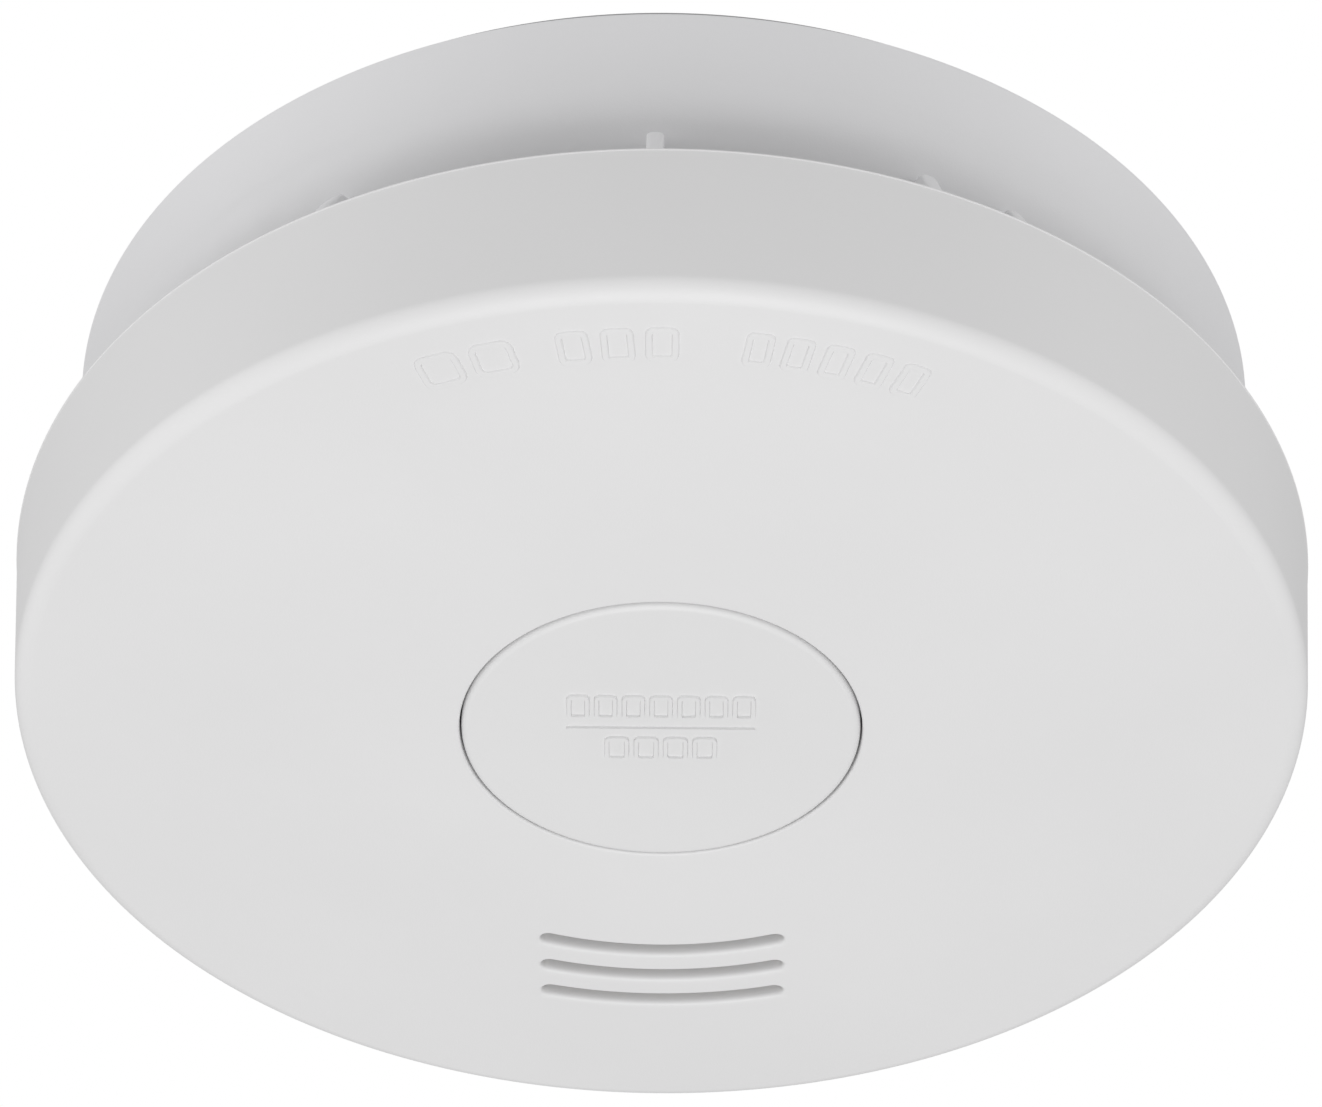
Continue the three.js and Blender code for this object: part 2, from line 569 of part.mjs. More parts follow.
place("microcontroller", boxAt([22, -4], 9, 9, hanging(1.4)), BLACK);
place("timing_crystal", boxAt([30, -4], 3.2, 7, hanging(2.4)), STEEL);
place("storage_capacitor", cylinder([27, 9], 4, ...hanging(8)), BLACK);
place("horn_transformer", cylinder([16, 18], 3.8, ...hanging(6)), BLACK);
place("status_led", led(), RED_LENS);
[[-12, -20], [-6, -22], [0, -23], [6, -22]].forEach((p, i) => {
  place(`chip_resistor_${i + 1}`, boxAt(p, 3.2, 1.6, hanging(0.6)), BLACK);
});

export default detector;
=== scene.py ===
import json
import math

import bmesh
import bpy
from mathutils import Matrix, Vector


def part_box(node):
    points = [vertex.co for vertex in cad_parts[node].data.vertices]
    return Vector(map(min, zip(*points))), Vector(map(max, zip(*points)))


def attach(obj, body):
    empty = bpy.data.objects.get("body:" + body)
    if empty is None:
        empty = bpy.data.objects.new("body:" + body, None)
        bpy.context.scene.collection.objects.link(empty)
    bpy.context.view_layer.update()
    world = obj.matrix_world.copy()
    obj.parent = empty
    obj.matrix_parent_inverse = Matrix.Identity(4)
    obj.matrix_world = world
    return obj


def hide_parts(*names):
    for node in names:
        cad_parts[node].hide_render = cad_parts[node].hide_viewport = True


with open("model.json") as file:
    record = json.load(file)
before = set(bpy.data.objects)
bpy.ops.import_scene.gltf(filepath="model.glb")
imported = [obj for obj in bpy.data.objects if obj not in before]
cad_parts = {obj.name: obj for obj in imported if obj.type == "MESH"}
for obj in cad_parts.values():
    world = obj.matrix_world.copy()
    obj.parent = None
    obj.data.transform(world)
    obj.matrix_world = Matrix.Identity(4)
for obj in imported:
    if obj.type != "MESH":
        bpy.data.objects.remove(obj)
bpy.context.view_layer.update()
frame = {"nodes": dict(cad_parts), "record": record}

# Geometry is written in millimetres, and scaled to metres when a mesh is made.
MM = 0.001
STEPS = 256  # round the large shells
PAST = 1  # how far a cutter runs past the faces that it cuts
JOIN = 0.5  # how far a part of a moulding runs into the part that carries it


def node_box(node):
    """A node's lowest and highest corners."""
    low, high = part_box(node)
    return Vector(low) / MM, Vector(high) / MM


def centre_of(node):
    """A node's middle, seen along Z."""
    low, high = node_box(node)
    return (low.x + high.x) / 2, (low.y + high.y) / 2


COVER_LOW, COVER_HIGH = node_box("front_cover")
SHELL_HIGH = node_box("back_shell")[1]
PLATE_LOW, PLATE_HIGH = node_box("mounting_plate")
BUTTON_LOW, BUTTON_HIGH = node_box("test_button")
SCREWS = [f"cover_screw_{i + 1}" for i in range(4)]
PINS = [f"co_sensor_pin_{i + 1}" for i in range(3)] + ["horn_pin_1", "horn_pin_2"]

# The front cover.
COVER_R = COVER_HIGH.x
FACE_Z = COVER_LOW.z
RIM_Z = FACE_Z + 14.7
WALL_END_Z = FACE_Z + 2.35
COVER_FOOT_R = COVER_R - 0.7
EDGE_ROUND = 1.7
EDGE_END_DEG = -84
COVER_WALL = 1.7
INNER_FACE_Z = FACE_Z + 2.15
RIM_LIP = 0.12
RIM_FLARE = 0.07
OPENING_R = 16.3
OPENING_LIP = 0.24
SLOT_AZIMUTH = 179.5
SLOT_RADII = (29.65, 33.2, 36.75)
SLOT_HALF_SPAN = 9.5
SLOT_HALF_WIDTH = 0.6
COVER_RELIEF = 0.17
COVER_FRAME = (3.7, 0.62, 0.13)  # height, stroke and slope of a blank frame
COVER_FRAME_GAP = 0.75
COVER_FRAME_R = 46.4
COVER_FRAME_GROUPS = ((-24.1, -13.5, 2), (-10.6, 1.9, 3), (7, 25.7, 5))  # first and last azimuth, count

# Inside the front cover.
GUIDE_R = (18.3, 19.3)  # inner and outer
GUIDE_TOP = INNER_FACE_Z + 3.3
HORN_WALL_R = (11.5, 12.3)
HORN_WALL_TOP = INNER_FACE_Z + 4.8
BOSS_HOLE_R = 1.35
BOSS_HOLE_END = INNER_FACE_Z + 2.3
BOSS_R = 2.7
BOSS_FOOT_R = 3.8
BOSS_SHOULDER = node_box("main_board")[0].z - 0.3

# The test button, which stands slightly proud of the cover.
BUTTON_RELIEF = 0.24
BUTTON_FACE_Z = BUTTON_LOW.z + BUTTON_RELIEF
BUTTON_R = OPENING_R - 0.15
BUTTON_ROUND = (0.6, 0.62)  # across the face, and down the side
BUTTON_CROWN = 0.06
BUTTON_BACK = INNER_FACE_Z - 0.4
BUTTON_FRAME = (0.42, 0.06)  # stroke and slope of a blank frame
BUTTON_FRAME_GAP = 0.35
BUTTON_ROWS = ((7.8, -5.05, -2.05, 7), (4.75, 0.25, 3.25, 4))  # half width, near and far edges, and count
BUTTON_RULE = (7.6, -0.98, -0.6)  # half width, near and far edges
TAB_R = 17.6
TAB_SPAN = 46
TAB_AZIMUTHS = (45, 135, 225, 315)
TAB_SEAT = INNER_FACE_Z + 0.3
TAB_TOP = INNER_FACE_Z + 1.3
SKIRT_R = 14.6
POST_R = 1.6
WEB_T = 0.9

# The back shell.
SHELL_R = SHELL_HIGH.y
SHELL_TOP = SHELL_HIGH.z
SHELL_WALL = 1.8
SHELL_DRAFT = 0.7
SHELL_LIP = 0.2
BOWL_START = SHELL_TOP - 6.5
BOWL_R = 10
BOWL_CENTRE_R = SHELL_R - SHELL_DRAFT - BOWL_R
BOWL_END_DEG = -78
FLOOR_BOTTOM = SHELL_TOP - 16.7
FLOOR_TOP = SHELL_TOP - 15.2
RIB_T = 1.36
RIB_TOP = SHELL_TOP - 11.7
RIB_ROUND = 0.6
RIB_SOFT = 0.45
RIB_GAP = 0.3  # between a rib and the cover's wall
RIB_SETS = ((-32.7, 0.9), (-1, 0.45), (25.4, 0), (35, 0))  # azimuth, and how far the outer corner is raised
RIBS = [(azimuth + turn, raised) for turn in (0, 120, 240) for azimuth, raised in RIB_SETS]
BAY_HALF = (29.6, 15.4)  # along X and Y
BAY_WALL = 1.2
BAY_TOP = SHELL_TOP - 2.5
BAY_RIDGE_HALF = (20, 0.6)
BAY_RIDGE_TOP = FLOOR_TOP + 2.95
FINGER_GAP_HALF = 7
FINGER_GAP_DEPTH = 3.75
LUG_R = 44.2
LUG_SPAN = 14
LUG_Z = (SHELL_TOP - 2.6, SHELL_TOP - 0.9)
SCREW_SEAT = (4, 0.8)  # radius and height
SCREW_HOLE_R = 1.7
TAIL_HALF = 1.7

# The mounting plate.
PLATE_R = PLATE_HIGH.x
PLATE_T = 1.2
PLATE_ROUND = 0.35
BAYONET_AZIMUTHS = (60, 180, 300)
STIFFENER_R = (38, 39.2)
STIFFENER_BOTTOM = -3
HOOK_SPAN = 18
HOOK_LEG_R = (42.6, 43.8)
HOOK_FOOT_R = (43.1, 45.4)
HOOK_FOOT_TOP = PLATE_LOW.z + 1.4
ARC_SLOT_R = 30
ARC_SLOT_HALF_SPAN = 17
ARC_SLOT_HALF_WIDTH = 2.5
KEYHOLE_X = 33
KEYHOLE_R = 4.5
KEYHOLE_END_Y = 9
KEYHOLE_END_R = 2.3
KEYHOLE_NECK_HALF = 2.1
RECESS_R = (12, 24)
RECESS_SPAN = 44
RECESS_DEPTH = 0.5
MARK_HALF = 0.6
MARK_DEPTH = 0.4
MARK_INSET = 2


# ------ outlines and solids
def arc(centre, radius, start, end, steps):
    """Points on an arc between two angles in degrees, both ends included."""
    x, y = centre
    angles = [math.radians(start + (end - start) * i / steps) for i in range(steps + 1)]
    return [(x + radius * math.cos(a), y + radius * math.sin(a)) for a in angles]


def polar(azimuth, r):
    """A place at a radius; azimuth 0 is the -Y side and azimuths grow towards +X."""
    a = math.radians(azimuth)
    return r * math.sin(a), -r * math.cos(a)


def dense(points, step):
    """The same outline with extra points along its long straight runs."""
    made = []
    for (x0, y0), (x1, y1) in zip(points, points[1:] + points[:1]):
        n = max(1, math.ceil(math.hypot(x1 - x0, y1 - y0) / step))
        made += [(x0 + (x1 - x0) * i / n, y0 + (y1 - y0) * i / n) for i in range(n)]
    return made


def rounded(points, radius, steps=5):
    """A closed outline with its corners rounded."""
    made = []
    corners = [Vector(p) for p in points]
    for i, p in enumerate(corners):
        a, b = corners[i - 1] - p, corners[(i + 1) % len(corners)] - p
        reach = min(radius, a.length * 0.45, b.length * 0.45)
        start, end = p + a.normalized() * reach, p + b.normalized() * reach
        for k in range(steps + 1):
            t = k / steps
            q = start * (1 - t) ** 2 + p * 2 * t * (1 - t) + end * t**2
            made.append((q.x, q.y))
    return made


def new_object(name, bm):
    """Makes an object, in metres, from a mesh drawn in millimetres."""
    bmesh.ops.recalc_face_normals(bm, faces=bm.faces)
    bmesh.ops.scale(bm, vec=(MM, MM, MM), verts=bm.verts)
    mesh = bpy.data.meshes.new(name)
    bm.to_mesh(mesh)
    bm.free()
    made = bpy.data.objects.new(name, mesh)
    bpy.context.scene.collection.objects.link(made)
    return made


def loft(name, loops, closed=False):
    """A solid through loops of equally many points: capped at its ends, or closed on itself."""
    bm = bmesh.new()
    rows = [[bm.verts.new(p) for p in loop] for loop in loops]
    pairs = list(zip(rows, rows[1:]))
    if closed:
        pairs.append((rows[-1], rows[0]))
    for a, b in pairs:
        for i in range(len(a)):
            j = (i + 1) % len(a)
            bm.faces.new((a[i], a[j], b[j], b[i]))
    if not closed:
        bm.faces.new(rows[0])
        bm.faces.new(rows[-1])
    return new_object(name, bm)


def revolve(name, profile, steps=STEPS, centre=(0, 0)):
    """A closed solid of revolution about a vertical axis, from a closed outline of (r, z) points."""
    bm = bmesh.new()
    turns = [2 * math.pi * i / steps for i in range(steps)]
    rows = []
    for r, z in profile:
        if r == 0:
            rows.append([bm.verts.new((*centre, z))])
            continue
        circle = [(centre[0] + r * math.cos(a), centre[1] + r * math.sin(a), z) for a in turns]
        rows.append([bm.verts.new(p) for p in circle])
    for a, b in zip(rows, rows[1:] + rows[:1]):
        for i in range(steps):
            j = (i + 1) % steps
            if len(a) > 1 and len(b) > 1:
                bm.faces.new((a[i], a[j], b[j], b[i]))
            elif len(a) > 1:
                bm.faces.new((a[i], a[j], b[0]))
            elif len(b) > 1:
                bm.faces.new((a[0], b[j], b[i]))
    return new_object(name, bm)


def prism(name, outline, z0, z1):
    """An upright solid with the same outline all the way up."""
    return loft(name, [[(x, y, z) for x, y in outline] for z in (z0, z1)])


def block(name, x, y, z):
    """A box between two values along each axis."""
    outline = [(x[0], y[0]), (x[1], y[0]), (x[1], y[1]), (x[0], y[1])]
    return prism(name, outline, *z)


def rod(name, centre, r, z0, z1, steps=48):
    """An upright cylinder."""
    return prism(name, arc(centre, r, 0, 360, steps)[:-1], z0, z1)


def sector(name, azimuth, span, r0, r1, z0, z1, steps=16):
    """A piece of a ring, centred on an azimuth."""
    start, end = azimuth - span / 2 - 90, azimuth + span / 2 - 90
    return prism(name, arc((0, 0), r1, start, end, steps) + arc((0, 0), r0, end, start, steps), z0, z1)


def slot_outline(azimuth, half_span, r, half_width):
    """An arc slot with round ends."""
    start, end = azimuth - half_span - 90, azimuth + half_span - 90

    def tip(a):
        return r * math.cos(math.radians(a)), r * math.sin(math.radians(a))

    return (
        arc((0, 0), r + half_width, start, end, 40)[:-1]
        + arc(tip(end), half_width, end, end + 180, 12)[:-1]
        + arc((0, 0), r - half_width, end, start, 40)[:-1]
        + arc(tip(start), half_width, start + 180, start + 360, 12)[:-1]
    )


def combine(target, operation, tools):
    """Joins tools to a solid, or cuts them from it, and keeps only the result."""
    for tool in tools:
        step = target.modifiers.new("combine", "BOOLEAN")
        step.operation = operation
        step.solver = "MANIFOLD"
        step.object = tool
    graph = bpy.context.evaluated_depsgraph_get()
    made = bpy.data.meshes.new_from_object(target.evaluated_get(graph))
    target.modifiers.clear()
    target.data = made
    made.name = target.name
    for tool in tools:
        bpy.data.objects.remove(tool)
    return target


def shade(piece, sharp=38, bevel=0.0):
    """Smooth shading with sharp corners kept, and an optional fine bevel in millimetres."""
    piece.data.shade_smooth()
    piece.data.set_sharp_from_angle(angle=math.radians(sharp))
    if bevel:
        step = piece.modifiers.new("edge rounding", "BEVEL")
        step.width = bevel * MM
        step.segments = 2
        step.limit_method = "ANGLE"
        step.angle_limit = math.radians(40)
        step.harden_normals = True
    weights = piece.modifiers.new("even shading", "WEIGHTED_NORMAL")
    weights.keep_sharp = True
    return piece


def settle(piece, body, slot, material, *nodes):
    """Gives a piece its material and its body, and hides the nodes that it stands for. The slot is not used.
    """
    piece.data.materials.clear()
    piece.data.materials.append(material)
    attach(piece, body)
    if nodes:
        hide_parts(*nodes)


# ------ materials
class Nodes:
    """A short way to write a node material."""

    def __init__(self, name):
        self.material = bpy.data.materials.new(name)
        self.material.use_nodes = True
        self.tree = self.material.node_tree
        self.shader = self.tree.nodes["Principled BSDF"]
        self.place = self.tree.nodes.new("ShaderNodeTexCoord").outputs["Object"]

    def noise(self, scale, detail=3.0, roughness=0.5):
        """Even noise in the piece's own space."""
        node = self.tree.nodes.new("ShaderNodeTexNoise")
        node.inputs["Scale"].default_value = scale
        node.inputs["Detail"].default_value = detail
        node.inputs["Roughness"].default_value = roughness
        self.tree.links.new(self.place, node.inputs["Vector"])
        return node.outputs["Fac"]

    def stretched(self, scales, detail=2.0):
        """Noise drawn out along the axis with the smallest scale."""
        mapping = self.tree.nodes.new("ShaderNodeMapping")
        mapping.inputs["Scale"].default_value = scales
        self.tree.links.new(self.place, mapping.inputs["Vector"])
        node = self.tree.nodes.new("ShaderNodeTexNoise")
        node.inputs["Scale"].default_value = 1.0
        node.inputs["Detail"].default_value = detail
        self.tree.links.new(mapping.outputs["Vector"], node.inputs["Vector"])
        return node.outputs["Fac"]

    def spread(self, fac, low, high, start=0.3, end=0.7):
        """A factor mapped from one range to another."""
        node = self.tree.nodes.new("ShaderNodeMapRange")
        node.inputs["From Min"].default_value = start
        node.inputs["From Max"].default_value = end
        node.inputs["To Min"].default_value = low
        node.inputs["To Max"].default_value = high
        self.tree.links.new(fac, node.inputs["Value"])
        return node.outputs["Result"]

    def ramp(self, fac, stops, interpolation="LINEAR"):
        """A factor turned into colours."""
        node = self.tree.nodes.new("ShaderNodeValToRGB")
        node.color_ramp.interpolation = interpolation
        marks = node.color_ramp.elements
        while len(marks) < len(stops):
            marks.new(0.5)
        for mark, (place, colour) in zip(marks, stops):
            mark.position = place
            mark.color = (*colour, 1)
        self.tree.links.new(fac, node.inputs["Fac"])
        return node.outputs["Color"]

    def bump(self, height, distance, strength=1.0, below=None):
        """A normal from a height, laid over another one if given."""
        node = self.tree.nodes.new("ShaderNodeBump")
        node.inputs["Distance"].default_value = distance
        node.inputs["Strength"].default_value = strength
        self.tree.links.new(height, node.inputs["Height"])
        if below:
            self.tree.links.new(below, node.inputs["Normal"])
        return node.outputs["Normal"]

    def set(self, socket, value):
        """Gives a shader socket a constant, or links it."""
        if isinstance(value, bpy.types.NodeSocket):
            self.tree.links.new(value, self.shader.inputs[socket])
        else:
            self.shader.inputs[socket].default_value = value


def tint(colour, factor):
    """The colour made lighter or darker."""
    return tuple(min(1.0, c * factor) for c in colour)


def moulded_plastic(name, colour, roughness, grain=0.000012):
    """Satin injection-moulded plastic: spark-eroded grain, slow tone and gloss changes."""
    n = Nodes(name)
    n.set("Base Color", n.ramp(n.noise(34, 2), [(0.3, tint(colour, 0.985)), (0.7, tint(colour, 1.008))]))
    n.set("Roughness", n.spread(n.noise(420, 4), roughness - 0.04, roughness + 0.05))
    flow = n.bump(n.noise(90, 2), 0.00004, 0.35)
    n.set("Normal", n.bump(n.noise(5600, 5, 0.6), grain, 0.8, flow))
    n.set("Specular IOR Level", 0.42)
    return n.material


def metal(name, colour, roughness, scales):
    """Sheet or turned metal with fine drawn lines and dull patches."""
    n = Nodes(name)
    n.set("Base Color", n.ramp(n.noise(150), [(0.3, tint(colour, 0.88)), (0.7, tint(colour, 1.05))]))
    n.set("Metallic", 1.0)
    n.set("Roughness", n.spread(n.noise(700, 4), roughness - 0.08, roughness + 0.14))
    n.set("Normal", n.bump(n.stretched(scales), 0.00002, 0.5))
    return n.material


def circuit_laminate():
    """Solder mask with the tracks under it standing slightly proud."""
    n = Nodes("circuit laminate")
    tracks = n.tree.nodes.new("ShaderNodeTexBrick")
    tracks.inputs["Scale"].default_value = 180
    tracks.inputs["Mortar Size"].default_value = 0.09
    tracks.inputs["Mortar Smooth"].default_value = 0.1
    tracks.inputs["Color1"].default_value = (0.008, 0.095, 0.035, 1)
    tracks.inputs["Color2"].default_value = (0.01, 0.11, 0.042, 1)
    tracks.inputs["Mortar"].default_value = (0.02, 0.2, 0.075, 1)
    n.tree.links.new(n.place, tracks.inputs["Vector"])
    n.set("Base Color", tracks.outputs["Color"])
    n.set("Roughness", n.spread(n.noise(900), 0.22, 0.38))
    n.set("Normal", n.bump(tracks.outputs["Fac"], 0.00003, 0.6))
    return n.material


def dark_moulding():
    """Black moulded plastic with a fine matt grain."""
    n = Nodes("black moulding")
    n.set("Base Color", n.ramp(n.noise(300), [(0.3, (0.012, 0.012, 0.013)), (0.7, (0.028, 0.028, 0.03))]))
    n.set("Roughness", n.spread(n.noise(2500, 4), 0.34, 0.52))
    n.set("Normal", n.bump(n.noise(9000, 4), 0.00001, 0.7))
    return n.material


def open_foam():
    """Black open-cell foam."""
    n = Nodes("open foam")
    cells = n.tree.nodes.new("ShaderNodeTexVoronoi")
    cells.inputs["Scale"].default_value = 2600
    n.tree.links.new(n.place, cells.inputs["Vector"])
    tones = [(0.1, (0.012, 0.012, 0.013)), (0.7, (0.05, 0.05, 0.052))]
    n.set("Base Color", n.ramp(cells.outputs["Distance"], tones))
    n.set("Roughness", 0.95)
    n.set("Normal", n.bump(cells.outputs["Distance"], 0.0002, 0.8))
    return n.material


def cell_sleeve():
    """A blue shrink sleeve with a silver band, and bare metal at both ends."""
    n = Nodes("cell sleeve")
    split = n.tree.nodes.new("ShaderNodeSeparateXYZ")
    n.tree.links.new(n.place, split.inputs["Vector"])
    half_length = 0.026
    along = n.spread(split.outputs["X"], 0, 1, -half_length, half_length)
    bare, blue, silver = (0.5, 0.5, 0.52), (0.03, 0.09, 0.24), (0.55, 0.57, 0.6)
    bands = [(0, bare), (0.06, blue), (0.72, silver), (0.78, blue), (0.94, bare)]
    n.set("Base Color", n.ramp(along, bands, "CONSTANT"))
    n.set("Roughness", n.spread(n.noise(500), 0.22, 0.36))
    n.set("Normal", n.bump(n.stretched((40, 500, 500)), 0.00005, 0.4))
    n.set("Coat Weight", 0.4)
    return n.material


def red_lens():
    """The lamp's clear red moulding."""
    n = Nodes("red lens")
    n.set("Base Color", n.ramp(n.noise(800), [(0.3, (0.5, 0.01, 0.008)), (0.7, (0.62, 0.02, 0.015))]))
    n.set("Roughness", n.spread(n.noise(1500), 0.05, 0.14))
    n.set("Normal", n.bump(n.noise(3000), 0.000005, 0.5))
    n.set("Transmission Weight", 0.6)
    return n.material


def silvered_ceramic():
    """The horn's ceramic disc under a fired silver coat."""
    n = Nodes("silvered ceramic")
    n.set("Base Color", n.ramp(n.noise(1800, 5), [(0.35, (0.62, 0.6, 0.54)), (0.65, (0.78, 0.76, 0.7))]))
    n.set("Roughness", n.spread(n.noise(2600, 4), 0.4, 0.62))
    n.set("Normal", n.bump(n.noise(7000, 4), 0.00001, 0.8))
    return n.material


COVER_PLASTIC = moulded_plastic("cover plastic", (0.80, 0.797, 0.80), 0.5)
BUTTON_PLASTIC = moulded_plastic("button plastic", (0.79, 0.788, 0.79), 0.48)
# The shell's faint blue cast is a painted reflection of the surroundings; its near-white is the plastic's
# own colour.
SHELL_PLASTIC = moulded_plastic("shell plastic", (0.845, 0.843, 0.855), 0.45)
# The plate's dark grey is painted shade: it darkens the plate's edge where it shows above the shell,
# standing in for the shadow along the ceiling line.
PLATE_SHADE_GREY_PLASTIC = moulded_plastic("plate plastic grey for painted shade", (0.34, 0.34, 0.345), 0.55, 0.00002)
SCREEN_PLASTIC = moulded_plastic("screen plastic", (0.7, 0.7, 0.69), 0.6, 0.00002)
STEEL = metal("zinc-plated steel", (0.62, 0.62, 0.64), 0.32, (9000, 900, 900))
NICKEL = metal("nickel-plated contact", (0.68, 0.65, 0.6), 0.28, (700, 700, 9000))
BRASS = metal("rolled brass", (0.75, 0.55, 0.24), 0.3, (500, 9000, 900))
CARRIED_MATERIALS = {
    "screen_plastic": SCREEN_PLASTIC,
    "board_laminate": circuit_laminate(),
    "black_plastic": dark_moulding(),
    "steel": STEEL,
    "plated_contact": NICKEL,
    "brass_sheet": BRASS,
    "ceramic": silvered_ceramic(),
    "red_lens": red_lens(),
    "cell_wrap": cell_sleeve(),
    "foam": open_foam(),
}


# ------ front cover
EDGE = arc((COVER_FOOT_R - EDGE_ROUND, WALL_END_Z), EDGE_ROUND, 0, EDGE_END_DEG, 20)
CROWN_R, CROWN_Z = EDGE[-1]


def crown_z(r):
    """The height of the gently crowned face at a radius."""
    t = (CROWN_R - r) / (CROWN_R - OPENING_R)
    return CROWN_Z + (FACE_Z - CROWN_Z) * t * (2 - t)


def cover_profile():
    """The cover's section: the drafted wall, the rounded edge, the crowned face and the opening."""
    inner = COVER_R - COVER_WALL
    wall_top = Vector((COVER_R - RIM_FLARE, RIM_Z - 3 * RIM_LIP))
    wall = [tuple(wall_top.lerp((COVER_FOOT_R, WALL_END_Z), i / 24)) for i in range(24)]
    face_end = OPENING_R + OPENING_LIP
    face = [(r, crown_z(r)) for r in [CROWN_R + (face_end - CROWN_R) * i / 30 for i in range(1, 31)]]
    return (
        arc((inner + RIM_LIP, RIM_Z - RIM_LIP), RIM_LIP, 180, 90, 5)
        + arc((COVER_R - RIM_LIP, RIM_Z - RIM_LIP), RIM_LIP, 90, -55, 12)
        + wall
        + EDGE
        + face
        + arc((face_end, FACE_Z + OPENING_LIP), OPENING_LIP, -97, -180, 6)
        + [(OPENING_R, INNER_FACE_Z), (inner - 2, INNER_FACE_Z)]
        + arc((inner - 2, INNER_FACE_Z + 1.7), 1.7, -80, 0, 8)
    )


def sound_slot(r):
    """A cutter for one slot. Its outer side slopes into the face, and its inner side has a small round."""
    half_span = math.degrees(math.asin(SLOT_HALF_SPAN / r))
    face = crown_z(r)
    # Depth below the face, and how much wider the slot is there on its inner and outer sides.
    mouth = [(-PAST, 0.8, 1.4), (0, 0.2, 0.52), (0.04, 0.13, 0.37), (0.1, 0.08, 0.27), (0.22, 0.04, 0.18)]
    throat = [(0.4, 0.02, 0.12), (0.7, 0.01, 0.08), (1.1, 0, 0.05), (INNER_FACE_Z - face + PAST, 0, 0)]
    loops = []
    for depth, inner, outer in mouth + throat:
        half_width = SLOT_HALF_WIDTH + (outer + inner) / 2
        outline = slot_outline(SLOT_AZIMUTH, half_span, r + (outer - inner) / 2, half_width)
        loops.append([(x, y, face + depth) for x, y in outline])
    return loft("slot cutter", loops)


def frame_pad(width, height, stroke, relief, soft, place):
    """A raised blank frame. place(u, v, h) puts a point that is h above the surface."""
    root = 0.3
    rise = [(0, -root), (0.01, 0), (soft * 0.4, relief * 0.6), (soft, relief)]
    rows = rise + [(stroke - inset, level) for inset, level in reversed(rise)]
    loops = []
    for inset, level in rows:
        w, h = width / 2 - inset, height / 2 - inset
        corner = max(0.12, min(width, height) * 0.3 - inset)
        outline = rounded([(-w, -h), (w, -h), (w, h), (-w, h)], corner)
        loops.append([place(u, v, level) for u, v in outline])
    return loft("frame pad", loops, closed=True)


def on_cover(azimuth, r):
    """Puts a pad on the face at a place, square to the radius."""
    a = math.radians(azimuth)

    def place(u, v, level):
        x, y = polar(azimuth, r + v)
        x, y = x + u * math.cos(a), y + u * math.sin(a)
        return x, y, crown_z(math.hypot(x, y)) - level

    return place


def cover_relief():
    """Three groups of blank frames along the near edge of the face."""
    height, stroke, soft = COVER_FRAME
    pads = []
    for start, end, count in COVER_FRAME_GROUPS:
        pitch = (end - start) / count
        width = math.radians(pitch) * COVER_FRAME_R - COVER_FRAME_GAP
        for i in range(count):
            place = on_cover(start + pitch * (i + 0.5), COVER_FRAME_R)
            pads.append(frame_pad(width, height, stroke, COVER_RELIEF, soft, place))
    return pads


def upright_ring(radii, bottom, top):
    """The outline of a plain ring."""
    inner, outer = radii
    return [(inner, top), (inner, bottom), (outer, bottom), (outer, top)]


def cover_inside():
    """The button's guide ring, the horn's wall and the four screw bosses."""
    floor = INNER_FACE_Z - JOIN
    guide = dense(upright_ring(GUIDE_R, floor, GUIDE_TOP), 4)
    horn_wall = upright_ring(HORN_WALL_R, floor, HORN_WALL_TOP)
    made = [revolve("guide", guide, 128), revolve("horn wall", horn_wall, 96, centre_of("horn_cup"))]
    boss = [(BOSS_HOLE_R, BOSS_HOLE_END), (BOSS_HOLE_R, COVER_HIGH.z), (BOSS_R, COVER_HIGH.z)]
    boss += [(BOSS_R, BOSS_SHOULDER), (BOSS_FOOT_R, BOSS_SHOULDER), (BOSS_FOOT_R, floor)]
    boss += [(0, floor), (0, BOSS_HOLE_END)]
    for screw in SCREWS:
        made.append(revolve("boss", boss, 40, centre_of(screw)))
    return made


def make_cover():
    """The cover's moulding, with its slots, its raised frames and the walls behind its face."""
    cover = revolve("front_cover_moulding", cover_profile())
    combine(cover, "DIFFERENCE", [sound_slot(r) for r in SLOT_RADII])
    combine(cover, "UNION", cover_relief() + cover_inside())
    shade(cover)
    settle(cover, "detector", "cover_plastic", COVER_PLASTIC, "front_cover")


# ------ test button
def button_profile():
    """The button's section: a gently domed face, a rounded edge, the skirt and the post on the switch."""
    across, down = BUTTON_ROUND
    flat = BUTTON_R - across
    edge = BUTTON_FACE_Z + BUTTON_CROWN
    return (
        [(flat * i / 12, BUTTON_FACE_Z + BUTTON_CROWN * (i / 12) ** 2) for i in range(12)]
        + [(flat + across * x, edge + down * (1 + y)) for x, y in arc((0, 0), 1, -90, 0, 12)]
        + [(BUTTON_R, TAB_TOP), (SKIRT_R, TAB_TOP), (SKIRT_R, BUTTON_BACK), (POST_R, BUTTON_BACK)]
        + [(POST_R, BUTTON_HIGH.z), (0, BUTTON_HIGH.z)]
    )


def on_button(x, y):
    """Puts a pad on the button's face at a place."""
    return lambda u, v, level: (x + u, y + v, BUTTON_FACE_Z - level)


def button_relief():
    """Two rows of blank frames with a rule between them."""
    stroke, soft = BUTTON_FRAME
    relief = []
    for half, near, far, count in BUTTON_ROWS:
        pitch = 2 * half / count
        width = pitch - BUTTON_FRAME_GAP
        for i in range(count):
            place = on_button(-half + pitch * (i + 0.5), (near + far) / 2)
            relief.append(frame_pad(width, far - near, stroke, BUTTON_RELIEF, soft, place))
    half, near, far = BUTTON_RULE
    rule = rounded([(-half, near), (half, near), (half, far), (-half, far)], 0.1)
    relief.append(prism("rule", rule, BUTTON_FACE_Z - BUTTON_RELIEF, BUTTON_FACE_Z + JOIN))
    return relief


